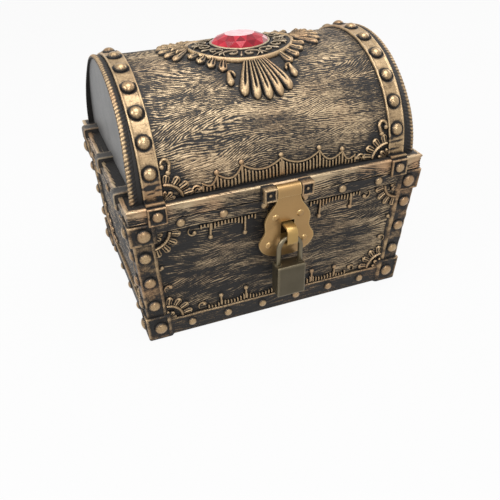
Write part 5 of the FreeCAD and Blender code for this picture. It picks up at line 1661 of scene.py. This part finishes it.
# a pale floor: white where it is seen, grey for the light it sends back
def studioFloor():
    spec = floorSpec
    mesh = bpy.data.meshes.new("floor")
    size = spec["size"]
    square = [(-size, -size), (size, -size), (size, size), (-size, size)]
    mesh.from_pydata([(x, y, spec["level"]) for x, y in square], [], [(0, 1, 2, 3)])
    floor = bpy.data.objects.new("floor", mesh)
    bpy.context.scene.collection.objects.link(floor)
    start = newFinish("paleFloor", None)
    seen = seenRays(start) * spec["seen"]
    lit = start.node("BsdfDiffuse", {}, {"Color": spec["grey"]})
    glow = start.node("Emission", {}, {"Color": white, "Strength": 1.0})
    surface = start.node("MixShader", {}, {0: seen, 1: lit, 2: glow})
    start.node("OutputMaterial", {}, {"Surface": surface})
    mesh.materials.append(finishes["paleFloor"]["material"])


worldLight = 0.26


# white behind the chest, and a soft light from all round that is weaker than what is seen
def studioWorld():
    world = bpy.data.worlds.new("studio")
    bpy.context.scene.world = world
    world.use_nodes = True
    world.node_tree.nodes.clear()
    start = Sock(world.node_tree)
    strength = worldLight + seenRays(start) * (1 - worldLight)
    surface = start.node("Background", {}, {"Color": white, "Strength": strength})
    start.node("OutputWorld", {}, {"Surface": surface})


# each lamp's place in metres, size and power, and the place that all of them face
lampSpec = {"key": ((-0.75, -0.2, 0.62), 0.5, 5.0), "top": ((0.05, -0.15, 0.95), 0.7, 6.0),
            "fill": ((-0.1, -0.85, 0.7), 0.35, 2.6), "back": ((0.85, 0.35, 0.5), 0.6, 2.0)}
lampAim = (0, 0, 0.07)


# round soft lamps, turned from their places to the chest
def studioLamps():
    for name, (place, size, power) in lampSpec.items():
        lamp = bpy.data.lights.new(name, "AREA")
        lamp.shape = "DISK"
        lamp.size = size
        lamp.energy = power
        holder = bpy.data.objects.new(name, lamp)
        bpy.context.scene.collection.objects.link(holder)
        aim = Vector(lampAim) - Vector(place)
        holder.matrix_world = Matrix.Translation(place) @ aim.to_track_quat("-Z", "Y").to_matrix().to_4x4()


# the camera's place in mm, turn about up, look-down angle and roll in degrees, lens for the photo's frame
cameraSpec = {"place": (-130.917, -345.056, 253.44), "turn": 21.147, "down": 34.586, "roll": -0.885,
              "lens": 44.377, "sensor": 36, "shift": (0.0061, 0.0140), "clip": 0.01}


# the camera: its back axis from turn and look-down angle, then right and up rolled about it
def studioCamera():
    spec = cameraSpec
    turn, down, roll = (math.radians(spec[name]) for name in ("turn", "down", "roll"))
    back = Vector((-math.sin(turn) * math.cos(down), -math.cos(turn) * math.cos(down), math.sin(down)))
    right = (-back).cross(Vector((0, 0, 1))).normalized()
    up = right.cross(-back)
    level = math.cos(roll) * right + math.sin(roll) * up
    tall = math.cos(roll) * up - math.sin(roll) * right
    lens = bpy.data.cameras.new("camera")
    lens.sensor_width = spec["sensor"]
    lens.lens = spec["lens"]
    lens.shift_x, lens.shift_y = spec["shift"]
    lens.clip_start = spec["clip"]
    camera = bpy.data.objects.new("camera", lens)
    bpy.context.scene.collection.objects.link(camera)
    place = Vector(spec["place"]) * mm
    camera.matrix_world = Matrix.Translation(place) @ Matrix((level, tall, back)).transposed().to_4x4()
    bpy.context.scene.camera = camera


studioFloor()
studioWorld()
studioLamps()
studioCamera()
bpy.context.scene.view_settings.view_transform = "Standard"
print("studio done")
